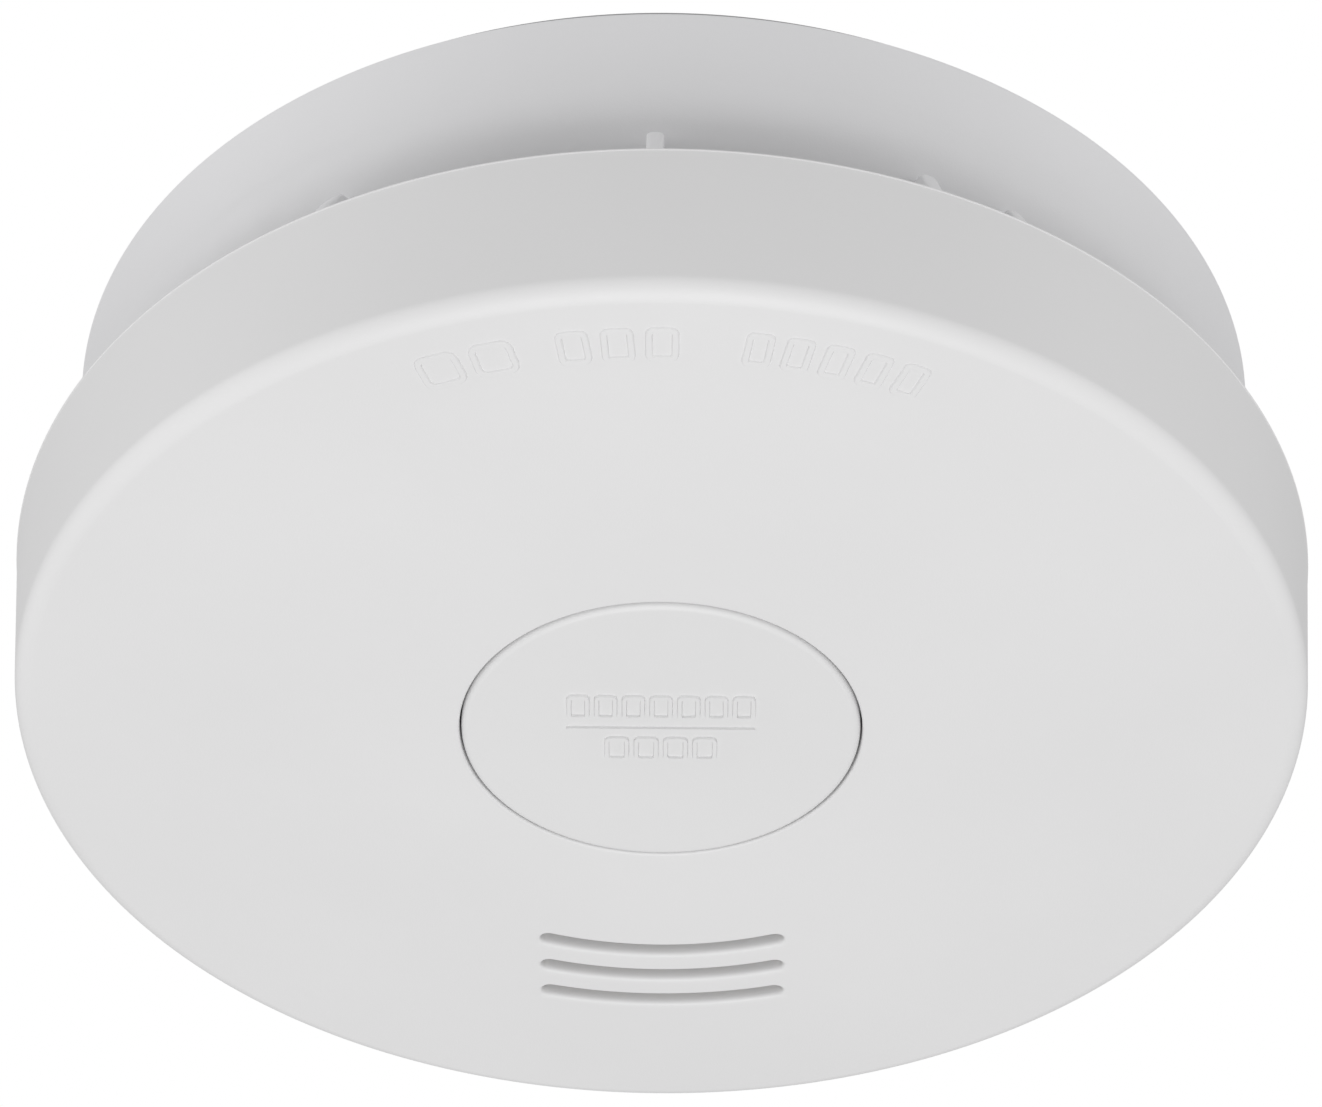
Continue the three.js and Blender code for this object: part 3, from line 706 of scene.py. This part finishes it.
def make_button():
    """The button's moulding, with four tabs behind the cover and two crossed webs."""
    button = revolve("test_button_moulding", button_profile(), 192)
    tabs = [sector("tab", a, TAB_SPAN, SKIRT_R + 0.4, TAB_R, TAB_SEAT, TAB_TOP) for a in TAB_AZIMUTHS]
    reach = SKIRT_R + 0.2
    long = (-reach, reach)
    thin = (-WEB_T / 2, WEB_T / 2)
    rise = (BUTTON_BACK - 0.2, BUTTON_BACK + 1)
    webs = [block("web", long, thin, rise), block("web", thin, long, rise)]
    combine(button, "UNION", button_relief() + tabs + webs)
    shade(button)
    settle(button, "button", "button_plastic", BUTTON_PLASTIC, "test_button")


# ------ back shell
def shell_profile():
    """The shell's section: a thin drafted wall that turns in to a bowl and a flat floor."""
    bowl = (BOWL_CENTRE_R, BOWL_START)
    wall_top = Vector((SHELL_R, SHELL_TOP - SHELL_LIP))
    wall_end = Vector((SHELL_R - SHELL_DRAFT, BOWL_START))
    return (
        [(0, FLOOR_TOP), (BOWL_CENTRE_R, FLOOR_TOP)]
        + arc(bowl, BOWL_R - SHELL_WALL, BOWL_END_DEG, 0, 16)
        + [(SHELL_R - SHELL_WALL, SHELL_TOP)]
        + arc((SHELL_R - SHELL_LIP, SHELL_TOP - SHELL_LIP), SHELL_LIP, 90, 0, 6)
        + [tuple(wall_top.lerp(wall_end, i / 12)) for i in range(1, 12)]
        + arc(bowl, BOWL_R, 0, BOWL_END_DEG, 40)
        + [(BOWL_CENTRE_R, FLOOR_BOTTOM), (0, FLOOR_BOTTOM)]
    )


def rib_outline(raised):
    """A rib's side as (r, z): down along the bowl, and sloped out to the cover's wall."""
    root, inside = 45.5, 46.4
    reach = COVER_R - COVER_WALL - RIB_GAP
    corner = RIB_TOP + raised
    upper = [(root, RIB_TOP), (47.7, RIB_TOP), (49.4, corner - 3.3), (50.3, corner - 5), (reach, corner - 6)]
    lower = [(reach, RIB_TOP - 8.2), (reach - 1.2, RIB_TOP - 9.4), (inside, RIB_TOP - 6.8)]
    return upper + lower + [(inside, RIB_TOP - 1.8), (root, RIB_TOP - 1)]


def make_rib(azimuth, raised):
    """A rib in the air gap, with soft edges all round."""
    outline = rounded(rib_outline(raised), RIB_ROUND, 4)
    centre = Vector((48.2, RIB_TOP - 4.6))
    turns = [math.pi / 2 * i / 6 for i in range(7)]
    rows = [(RIB_SOFT * (1 - math.sin(t)), RIB_SOFT * (1 - math.cos(t)) - RIB_T / 2) for t in turns]
    rows += [(inset, -across) for inset, across in reversed(rows)]
    a = math.radians(azimuth)
    loops = []
    for inset, across in rows:
        loop = []
        for point in outline:
            spoke = Vector(point) - centre
            r, z = centre + spoke * (1 - inset / spoke.length)
            loop.append((r * math.sin(a) + across * math.cos(a), -r * math.cos(a) + across * math.sin(a), z))
        loops.append(loop)
    return loft("rib", loops)


def battery_bay():
    """The bay's four walls with a gap for a finger, and the ridge between the cells."""
    x, y = BAY_HALF
    bottom = FLOOR_TOP - JOIN
    outside = ((-x - BAY_WALL, x + BAY_WALL), (-y - BAY_WALL, y + BAY_WALL))
    walls = block("bay", *outside, (bottom, BAY_TOP))
    hollow = block("hollow", (-x, x), (-y, y), (FLOOR_TOP - PAST, BAY_TOP + PAST))
    gap_x = (-FINGER_GAP_HALF, FINGER_GAP_HALF)
    gap_y = (-y - BAY_WALL - PAST, y + BAY_WALL + PAST)
    gap = block("finger gap", gap_x, gap_y, (BAY_TOP - FINGER_GAP_DEPTH, BAY_TOP + PAST))
    combine(walls, "DIFFERENCE", [hollow, gap])
    half_length, half_width = BAY_RIDGE_HALF
    ridge = block("ridge", (-half_length, half_length), (-half_width, half_width), (bottom, BAY_RIDGE_TOP))
    return [walls, ridge]


def make_shell():
    """The shell's moulding, with the bay, the ribs, the bayonet lugs and the screw seats."""
    shell = revolve("back_shell_moulding", shell_profile())
    through = (FLOOR_BOTTOM - PAST, FLOOR_TOP + PAST)
    parts = battery_bay() + [make_rib(azimuth, raised) for azimuth, raised in RIBS]
    parts += [sector("lug", a, LUG_SPAN, LUG_R, SHELL_R - 1, *LUG_Z) for a in BAYONET_AZIMUTHS]
    seat_r, seat_height = SCREW_SEAT
    holes = []
    for screw in SCREWS:
        parts.append(rod("seat", centre_of(screw), seat_r, FLOOR_TOP - JOIN, FLOOR_TOP + seat_height))
        holes.append(rod("hole", centre_of(screw), SCREW_HOLE_R, *through))
    low, high = node_box("battery_contact_negative")
    tail = (low.x - 0.25, high.x + 0.25)
    for cell in ("battery_cell_front", "battery_cell_rear"):
        y = centre_of(cell)[1]
        holes.append(block("tail slot", tail, (y - TAIL_HALF, y + TAIL_HALF), through))
    combine(shell, "UNION", parts)
    combine(shell, "DIFFERENCE", holes)
    shade(shell)
    settle(shell, "detector", "shell_plastic", SHELL_PLASTIC, "back_shell")


# ------ mounting plate
def plate_profile():
    """The plate's section, a flat disc with a rounded rim."""
    inset = PLATE_R - PLATE_ROUND
    return (
        [(r, -PLATE_T) for r in range(0, 45, 4)]
        + arc((inset, -PLATE_T + PLATE_ROUND), PLATE_ROUND, -90, 0, 5)
        + arc((inset, -PLATE_ROUND), PLATE_ROUND, 0, 90, 5)
        + [(r, 0) for r in range(44, -1, -4)]
    )


def hook(azimuth):
    """A bayonet hook: a leg down from the plate, a foot that turns outwards, and a stop at one end."""
    bottom = PLATE_LOW.z
    top = -PLATE_T + 0.2
    leg_r = HOOK_LEG_R
    foot_r = HOOK_FOOT_R
    return [
        sector("hook leg", azimuth, HOOK_SPAN, *leg_r, bottom, top),
        sector("hook foot", azimuth, HOOK_SPAN - 0.4, *foot_r, bottom + 0.1, HOOK_FOOT_TOP),
        sector("hook stop", azimuth + 9.5, 1.6, leg_r[0] + 0.3, foot_r[1] - 0.1, bottom + 0.2, top + 0.1, 3),
    ]


def keyhole(x, through):
    """A cutter for one keyhole: a round head, and a neck to its narrow end."""
    cutter = rod("keyhole", (x, 0), KEYHOLE_R, *through)
    end = rod("narrow end", (x, KEYHOLE_END_Y), KEYHOLE_END_R, *through)
    neck = block("neck", (x - KEYHOLE_NECK_HALF, x + KEYHOLE_NECK_HALF), (0, KEYHOLE_END_Y), through)
    return combine(cutter, "UNION", [end, neck])


def make_plate():
    """The plate's moulding, with its hooks, its stiffening ring and its holes."""
    plate = revolve("mounting_plate_moulding", plate_profile())
    root = -PLATE_T + 0.2
    parts = [revolve("stiffener", upright_ring(STIFFENER_R, STIFFENER_BOTTOM, root))]
    for azimuth in BAYONET_AZIMUTHS:
        parts += hook(azimuth)
    combine(plate, "UNION", parts)
    through = (-PLATE_T - PAST, PAST)
    cuts = []
    for azimuth in (0, 180):
        slot = slot_outline(azimuth, ARC_SLOT_HALF_SPAN, ARC_SLOT_R, ARC_SLOT_HALF_WIDTH)
        cuts.append(prism("arc slot", slot, *through))
    cuts += [keyhole(x, through) for x in (-KEYHOLE_X, KEYHOLE_X)]
    cuts += [sector("recess", a, RECESS_SPAN, *RECESS_R, -RECESS_DEPTH, PAST) for a in range(30, 360, 60)]
    for azimuth in range(0, 360, 90):
        x, y = polar(azimuth, PLATE_R - MARK_INSET)
        across, along = (x - MARK_HALF, x + MARK_HALF), (y - MARK_HALF, y + MARK_HALF)
        cuts.append(block("mark", across, along, (-MARK_DEPTH, PAST)))
    combine(plate, "DIFFERENCE", cuts)
    shade(plate, 32, 0.12)
    # The plate gets the grey material that paints the shade along the ceiling line.
    settle(plate, "plate", "plate_plastic", PLATE_SHADE_GREY_PLASTIC, "mounting_plate")


# ------ what is inside the housing
SLOTS = {s["node"]: s["material_slot"] for s in frame["record"]["subparts"]}


def fit_detail(piece, node, body="detector", bevel=0.0):
    """Finishes a detailed piece that stands for one CAD node."""
    shade(piece, 35, bevel)
    settle(piece, body, SLOTS[node], CARRIED_MATERIALS[SLOTS[node]], node)


def turned(node, outline, steps=96):
    """A turned piece on the upright axis of a node, from a closed outline of (r, z) points."""
    return revolve(f"{node}_detail", outline, steps, centre_of(node))


def size_of(node):
    """A round node's radius, and its lowest and highest z."""
    low, high = node_box(node)
    return (high.x - low.x) / 2, low.z, high.z


def eased_disc(r, low, high, ease):
    """The outline of a disc or a pin whose edges are eased."""
    return [(0, low), (r - ease, low), (r, low + ease), (r, high - ease), (r - ease, high), (0, high)]


def rolled_groove(r, z, slope, flat):
    """A groove rolled into a turned wall, upwards from z."""
    depth = 0.3
    return [(r, z), (r - depth, z + slope), (r - depth, z + slope + flat), (r, z + 2 * slope + flat)]


def crossed_cuts(centre, half_length, half_width, z):
    """Two thin cutters that cross over a centre."""
    x, y = centre
    long_x, long_y = (x - half_length, x + half_length), (y - half_length, y + half_length)
    thin_x, thin_y = (x - half_width, x + half_width), (y - half_width, y + half_width)
    return [block("cross", long_x, thin_y, z), block("cross", thin_x, long_y, z)]


def make_pin(node):
    """A round pin with pointed ends."""
    r, low, high = size_of(node)
    fit_detail(turned(node, eased_disc(r, low, high, r * 0.4), 24), node)


def make_sensor():
    """The gas cell's can with a rolled groove, its vented cap and the filter between them."""
    r, low, high = size_of("co_sensor_can")
    neck = r - 1.2
    step = low + 1
    dish_r, dish = 2.5, 0.15
    can = [(0, low), (neck - 0.2, low), (neck, low + 0.2), (neck, step), (r - 0.2, step), (r, step + 0.2)]
    can += rolled_groove(r, high - 2.2, 0.2, 0.3)
    can += arc((r - 0.5, high - 0.5), 0.5, 0, 90, 6)
    can += [(dish_r, high), (dish_r - 0.1, high - dish), (0, high - dish)]
    fit_detail(turned("co_sensor_can", can), "co_sensor_can")

    r, low, high = size_of("co_sensor_cap")
    mouth_r, thick = 2, 0.9
    cap = [(mouth_r, low + 0.15), (mouth_r + 0.15, low), (r - 0.5, low)]
    cap += arc((r - 0.4, low + 0.4), 0.4, -90, 0, 5)
    cap += [(r, high - 0.1), (r - 0.1, high), (r - thick + 0.1, high), (r - thick, high - 0.1)]
    cap += [(r - thick, low + thick), (mouth_r, low + thick)]
    vents = []
    for i in range(6):
        place = Vector(centre_of("co_sensor_cap")) + Vector(polar(60 * i, 5.2))
        vents.append(rod("vent", place, 0.7, low - PAST, low + thick + PAST, 24))
    fit_detail(combine(turned("co_sensor_cap", cap), "DIFFERENCE", vents), "co_sensor_cap")

    r, low, high = size_of("co_sensor_filter")
    fit_detail(turned("co_sensor_filter", eased_disc(r, low, high, 0.3)), "co_sensor_filter")


def make_horn():
    """The horn's cup with its groove, the foam ring and the two discs of the piezo element."""
    r, low, high = size_of("horn_cup")
    piezo_z = node_box("piezo_plate")[0].z
    groove_low, groove_top = piezo_z - 0.2, piezo_z + 0.8
    wall, shelf, groove_r = r - 1.2, r - 2, r - 0.8
    cup = [(wall, low + 0.2), (wall + 0.2, low), (r - 0.2, low), (r, low + 0.2), (r, high - 0.5)]
    cup += arc((r - 0.5, high - 0.5), 0.5, 0, 90, 5)
    cup += [(shelf + 0.1, high), (shelf, high - 0.1), (shelf, groove_top), (groove_r, groove_top)]
    cup += [(groove_r, groove_low), (wall, groove_low)]
    y = centre_of("horn_cup")[1]
    notch = block("notch", (-1.5, 1.5), (y - r - PAST, y + r + PAST), (high - 0.7, high + PAST))
    fit_detail(combine(turned("horn_cup", cup), "DIFFERENCE", [notch]), "horn_cup")

    r, low, high = size_of("horn_seal")
    middle_r, half_height, widening = r - 0.45, 0.2, 2.2
    seal = arc((0, (low + high) / 2), half_height, -180, 180, 16)[:-1]
    seal = [(middle_r + x * widening, z) for x, z in seal]
    fit_detail(turned("horn_seal", seal), "horn_seal")

    for node in ("piezo_plate", "piezo_ceramic"):
        r, low, high = size_of(node)
        fit_detail(turned(node, eased_disc(r, low, high, 0.08)), node)


def make_cell(node, towards):
    """An AA cell along X: rolled ends, a recessed flat end and a stud."""
    low, high = node_box(node)
    stud, stud_r = 1.3, 2.7
    r = (high.z - low.z) / 2
    half = (high.x - low.x - stud) / 2
    flat_end = [(0, 0.3 - half), (4.6, 0.3 - half), (4.8, -half), (r - 0.6, -half)]
    flat_end += [(r - 0.15, 0.15 - half), (r, 0.6 - half)]
    stud_end = [(r, half - 0.6), (r - 0.15, half - 0.15), (r - 0.5, half), (5.7, half), (5.5, half - 0.4)]
    stud_end += [(4.3, half - 0.4), (4.0, half - 0.1), (stud_r + 0.1, half), (stud_r, half + 0.1)]
    stud_end += [(stud_r, half + stud - 0.2), (stud_r - 0.2, half + stud), (0, half + stud)]
    cell = revolve(f"{node}_detail", flat_end + stud_end, 96)
    turn = Matrix.Rotation(math.radians(90 * towards), 4, "Y")
    place = Vector((0, (low.y + high.y) / 2, (low.z + high.z) / 2)) * MM
    cell.data.transform(Matrix.Translation(place) @ turn)
    fit_detail(cell, node)


def make_spring(node, cell):
    """A conical coil of round wire, with its wide end on the contact strip."""
    low, high = node_box(node)
    cell_low, cell_high = node_box(cell)
    y, z = (cell_low.y + cell_high.y) / 2, (cell_low.z + cell_high.z) / 2
    outward = 1 if low.x > 0 else -1
    inset = 0.3
    wide_x = max(abs(low.x), abs(high.x)) - inset
    narrow_x = min(abs(low.x), abs(high.x)) + inset
    wide_r, narrow_r, wire_r = 4.1, 2.3, 0.26
    turns, steps, closed_turn = 3.5, 150, 0.12
    loops = []
    for i in range(steps + 1):
        t = i / steps
        a = 2 * math.pi * turns * t
        r = wide_r + (narrow_r - wide_r) * t
        lift = min(1, max(0, (t - closed_turn) / (1 - 2 * closed_turn)))
        x = outward * (wide_x + (narrow_x - wide_x) * lift)
        section = arc((0, 0), wire_r, 0, 360, 10)[:-1]
        loops.append([(x + v, y + (r + u) * math.cos(a), z + (r + u) * math.sin(a)) for u, v in section])
    fit_detail(loft(f"{node}_detail", loops), node)


def make_screw(node):
    """A pan-head screw with a thread and a cross recess."""
    r, low, high = size_of(node)
    head, crest_r, core_r, shank_r = 1.8, 1.25, 1.02, 1.2
    pitch = 0.7
    seat = high - head
    thread_low = low + 1
    outline = [(0, low), (0.5, low), (1.0, low + 0.8)]
    for i in range(int((seat - 1 - thread_low) / pitch)):
        z = thread_low + pitch * i
        outline += [(crest_r, z), (crest_r, z + 0.1), (core_r, z + 0.3), (core_r, z + 0.5)]
    outline += [(shank_r, seat - 0.6), (shank_r, seat), (r - 0.15, seat), (r, seat + 0.15)]
    outline += [(r - 0.05, seat + 0.8), (r - 0.45, seat + 1.4), (r - 1.2, high - 0.05), (0, high)]
    cross = crossed_cuts(centre_of(node), 1.6, 0.3, (seat + 0.7, high + PAST))
    fit_detail(combine(turned(node, outline, 48), "DIFFERENCE", cross), node)


def make_capacitor():
    """A sleeved can with a rolled neck by the board and a scored free end."""
    node = "storage_capacitor"
    r, low, high = size_of(node)
    rim, dish, score_depth = 0.3, 0.2, 0.12
    outline = [(0, low + dish), (r - 3 * rim, low + dish), (r - rim - 0.4, low)]
    outline += [(r - rim, low), (r, low + rim)]
    outline += rolled_groove(r, high - 1.9, 0.3, 0.3)
    outline += [(r, high - rim), (r - rim, high), (0, high)]
    score = crossed_cuts(centre_of(node), 2.2, 0.12, (low - PAST, low + dish + score_depth))
    fit_detail(combine(turned(node, outline), "DIFFERENCE", score), node)


def make_transformer():
    """A drum core with a wound waist."""
    node = "horn_transformer"
    r, low, high = size_of(node)
    turns, ease, flange, waist_r = 12, 0.2, 1, r - 0.6
    pitch = (high - low - 2 * flange) / turns
    outline = [(0, low), (r - ease, low), (r, low + ease), (r, low + flange - 0.1), (waist_r, low + flange)]
    for i in range(turns):
        outline += arc((waist_r, low + flange + pitch * (i + 0.5)), pitch / 2, -80, 80, 6)
    outline += [(waist_r, high - flange), (r, high - flange + 0.1), (r, high - ease)]
    outline += [(r - ease, high), (0, high)]
    fit_detail(turned(node, outline), node)


def make_led():
    """A lamp with a domed lens and a collar."""
    node = "status_led"
    r, low, high = size_of(node)
    lens_r, collar, ease = r - 0.4, 1, 0.1
    outline = [(0, low)] + arc((0, low + lens_r), lens_r, -84, 0, 12)
    outline += [(lens_r, high - collar), (r - ease, high - collar), (r, high - collar + ease)]
    outline += [(r, high - ease), (r - ease, high), (0, high)]
    fit_detail(turned(node, outline, 64), node)


def make_controller():
    """A square package with eight bent legs on each side and a corner mark."""
    node = "microcontroller"
    low, high = node_box(node)
    middle = (low + high) / 2
    half = (high.x - low.x) / 2
    leg_length, leg_pitch, leg_half = 0.9, 0.8, 0.15
    body = half - leg_length
    square = rounded([(-body, -body), (body, -body), (body, body), (-body, body)], 0.2)
    piece = prism(f"{node}_detail", square, low.z, high.z - 0.15)
    leg_z = (middle.z - 0.1, middle.z + 0.1)
    foot_z = (middle.z - 0.05, high.z)
    legs = []
    for side in (-1, 1):
        leg = tuple(sorted((side * (body - 0.3), side * half)))
        foot = tuple(sorted((side * (half - 0.4), side * half)))
        for i in range(8):
            a = (i - 3.5) * leg_pitch
            width = (a - leg_half, a + leg_half)
            legs += [block("leg", leg, width, leg_z), block("foot", foot, width, foot_z)]
            legs += [block("leg", width, leg, leg_z), block("foot", width, foot, foot_z)]
    combine(piece, "UNION", legs)
    mark = rod("corner mark", (1 - body, 1 - body), 0.4, low.z - PAST, low.z + 0.1, 24)
    combine(piece, "DIFFERENCE", [mark])
    piece.data.transform(Matrix.Translation(Vector((middle.x, middle.y, 0)) * MM))
    fit_detail(piece, node)


def make_crystal():
    """A pressed can with a flange and a crowned top."""
    node = "timing_crystal"
    low, high = node_box(node)
    x, y = centre_of(node)
    corners = [(low.x, low.y), (high.x, low.y), (high.x, high.y), (low.x, high.y)]
    outline = rounded(corners, 1.4, 10)
    flange = prism(f"{node}_detail", outline, high.z - 0.4, high.z)
    loops = []
    for across, along, z in ((0.86, 0.93, high.z - 0.2), (0.86, 0.93, low.z + 0.25), (0.74, 0.88, low.z)):
        loops.append([(x + (u - x) * across, y + (v - y) * along, z) for u, v in outline])
    fit_detail(combine(flange, "UNION", [loft("can", loops)]), node, bevel=0.08)


def make_resistor(node):
    """A flat chip with two thicker metal ends."""
    low, high = node_box(node)
    end = 0.5
    across, along = (low.x + 0.1, high.x - 0.1), (low.y + 0.06, high.y - 0.06)
    chip = block(f"{node}_detail", across, along, (low.z + 0.05, high.z - 0.04))
    ends = []
    for x in ((low.x, low.x + end), (high.x - end, high.x)):
        ends.append(block("end", x, (low.y, high.y), (low.z, high.z)))
    fit_detail(combine(chip, "UNION", ends), node, bevel=0.04)


def make_board():
    """The round board with its holes, and solder rings round the pins."""
    node = "main_board"
    r, low, high = size_of(node)
    board = turned(node, eased_disc(r, low, high, 0.12), STEPS)
    solder = 0.06
    rings, holes = [], []
    for pin in PINS:
        rings.append(rod("solder ring", centre_of(pin), 1.3, low - solder, high + solder, 32))
        holes.append(rod("hole", centre_of(pin), 0.7, low - PAST, high + PAST, 24))
    for screw in SCREWS:
        holes.append(rod("hole", centre_of(screw), 3, low - PAST, high + PAST))
    combine(board, "UNION", rings)
    fit_detail(combine(board, "DIFFERENCE", holes), node)


def make_insect_screen():
    """A thin round wall with windows, each filled by a fine grid."""
    node = "insect_screen"
    r, low, high = size_of(node)
    thick, windows, across, down = 0.6, 16, 6, 9
    pitch_across, pitch_down = 1.3, 1.35
    opening = Matrix.Diagonal((2, 0.95, 1.0, 1))
    wall = turned(node, dense([(r - thick, low), (r, low), (r, high), (r - thick, high)], 4), STEPS)
    bm = bmesh.new()
    for window in range(windows):
        for i in range(across):
            for k in range(down):
                turn = 2 * math.pi / windows * (window + 0.5) + (i - (across - 1) / 2) * pitch_across / r
                z = (low + high) / 2 + (k - (down - 1) / 2) * pitch_down
                place = Matrix.Rotation(turn, 4, "Z") @ Matrix.Translation((r - thick / 2, 0, z))
                bmesh.ops.create_cube(bm, size=1, matrix=place @ opening)
    fit_detail(combine(wall, "DIFFERENCE", [new_object("grid", bm)]), node)


def make_plunger():
    """The switch's plunger, rounded at the end that the button's post meets."""
    node = "switch_plunger"
    r, low, high = size_of(node)
    outline = [(0, low), (r - 0.35, low)] + arc((r - 0.3, low + 0.3), 0.3, -90, 0, 5)
    outline += [(r, high), (0, high)]
    fit_detail(turned(node, outline, 64), node, "switch")


def make_inside():
    """Every detailed piece that the housing holds."""
    make_board()
    make_insect_screen()
    make_sensor()
    make_horn()
    make_cell("battery_cell_front", 1)
    make_cell("battery_cell_rear", -1)
    make_spring("battery_spring_front", "battery_cell_front")
    make_spring("battery_spring_rear", "battery_cell_rear")
    for screw in SCREWS:
        make_screw(screw)
    for pin in PINS:
        make_pin(pin)
    make_capacitor()
    make_transformer()
    make_led()
    make_controller()
    make_crystal()
    for i in range(4):
        make_resistor(f"chip_resistor_{i + 1}")
    make_plunger()


# ------ carried-over CAD nodes
def dress_cad_nodes():
    """Gives the sheet-metal and switch nodes that stay their own material and softened edges."""
    for node in ("switch_body", "switch_frame", "battery_contact_positive", "battery_contact_negative",
                 "battery_contact_link"):
        piece = frame["nodes"][node]
        piece.data.materials.clear()
        piece.data.materials.append(CARRIED_MATERIALS[SLOTS[node]])
        step = piece.modifiers.new("edge rounding", "BEVEL")
        step.width = 0.1 * MM
        step.segments = 2
        step.limit_method = "ANGLE"
        step.angle_limit = math.radians(40)


# ------ camera, light and floor
RIM_CENTRE = Vector((0, 0, RIM_Z)) * MM
CAMERA_BELOW = math.radians(39.73)
CAMERA_DISTANCE = 0.5506
CAMERA_PAN = math.radians(-0.012)
CAMERA_TILT = math.radians(0.33)
CAMERA_ROLL = math.radians(0.5)
LENS = 182.2
FLOOR_Z = -1.4


def make_camera():
    """A long lens from below the near side, pointed almost at the middle of the cover's rim."""
    away = Vector((0, -math.cos(CAMERA_BELOW), -math.sin(CAMERA_BELOW)))
    forward = -away
    right = forward.cross(Vector((0, 0, 1))).normalized()
    up = right.cross(forward)
    forward = (forward + right * math.tan(CAMERA_PAN) + up * math.tan(CAMERA_TILT)).normalized()
    right = forward.cross(up).normalized()
    up = right.cross(forward)
    turned_right = right * math.cos(CAMERA_ROLL) + up * math.sin(CAMERA_ROLL)
    turned_up = up * math.cos(CAMERA_ROLL) - right * math.sin(CAMERA_ROLL)
    data = bpy.data.cameras.new("camera")
    data.lens = LENS
    data.sensor_width = 36
    data.clip_start, data.clip_end = 0.01, 20
    camera = bpy.data.objects.new("camera", data)
    bpy.context.scene.collection.objects.link(camera)
    place = Matrix((turned_right, turned_up, -forward)).transposed().to_4x4()
    place.translation = RIM_CENTRE + away * CAMERA_DISTANCE
    camera.matrix_world = place
    bpy.context.scene.camera = camera


def softbox(name, azimuth, elevation, distance, size, power):
    """A square area light that faces the object."""
    light = bpy.data.lights.new(name, "AREA")
    light.energy = power
    light.size = size
    lamp = bpy.data.objects.new(name, light)
    bpy.context.scene.collection.objects.link(lamp)
    e = math.radians(elevation)
    x, y = polar(azimuth, math.cos(e))
    towards = Vector((x, y, math.sin(e)))
    lamp.location = towards * distance + RIM_CENTRE
    lamp.rotation_mode = "QUATERNION"
    lamp.rotation_quaternion = towards.to_track_quat("Z", "Y")
    lamp.visible_camera = False


def make_world():
    """An even pale sky for the light, and plain white where the camera sees it."""
    world = bpy.data.worlds.new("studio")
    bpy.context.scene.world = world
    world.use_nodes = True
    tree = world.node_tree
    tree.nodes.clear()
    shown = tree.nodes.new("ShaderNodeBackground")
    shown.inputs["Color"].default_value = (1, 1, 1, 1)
    lit = tree.nodes.new("ShaderNodeBackground")
    lit.inputs["Color"].default_value = (1, 1, 1, 1)
    lit.inputs["Strength"].default_value = 0.5
    path = tree.nodes.new("ShaderNodeLightPath")
    mix = tree.nodes.new("ShaderNodeMixShader")
    out = tree.nodes.new("ShaderNodeOutputWorld")
    tree.links.new(path.outputs["Is Camera Ray"], mix.inputs[0])
    tree.links.new(lit.outputs[0], mix.inputs[1])
    tree.links.new(shown.outputs[0], mix.inputs[2])
    tree.links.new(mix.outputs[0], out.inputs[0])


def make_floor():
    """A plain pale floor far below."""
    bm = bmesh.new()
    bmesh.ops.create_grid(bm, x_segments=1, y_segments=1, size=4 / MM)
    bmesh.ops.translate(bm, vec=(0, 0, FLOOR_Z / MM), verts=bm.verts)
    floor = new_object("floor", bm)
    floor.data.materials.append(moulded_plastic("floor", (0.8, 0.8, 0.8), 0.8))


make_cover()
make_button()
make_shell()
make_plate()
make_inside()
dress_cad_nodes()
make_camera()
make_floor()
make_world()
softbox("front light", 0, -74, 0.85, 0.7, 4.3)
softbox("left light", -72, 10, 1.0, 0.8, 3.1)
softbox("right light", 68, 10, 1.0, 0.8, 2.3)
bpy.context.scene.view_settings.view_transform = "Standard"
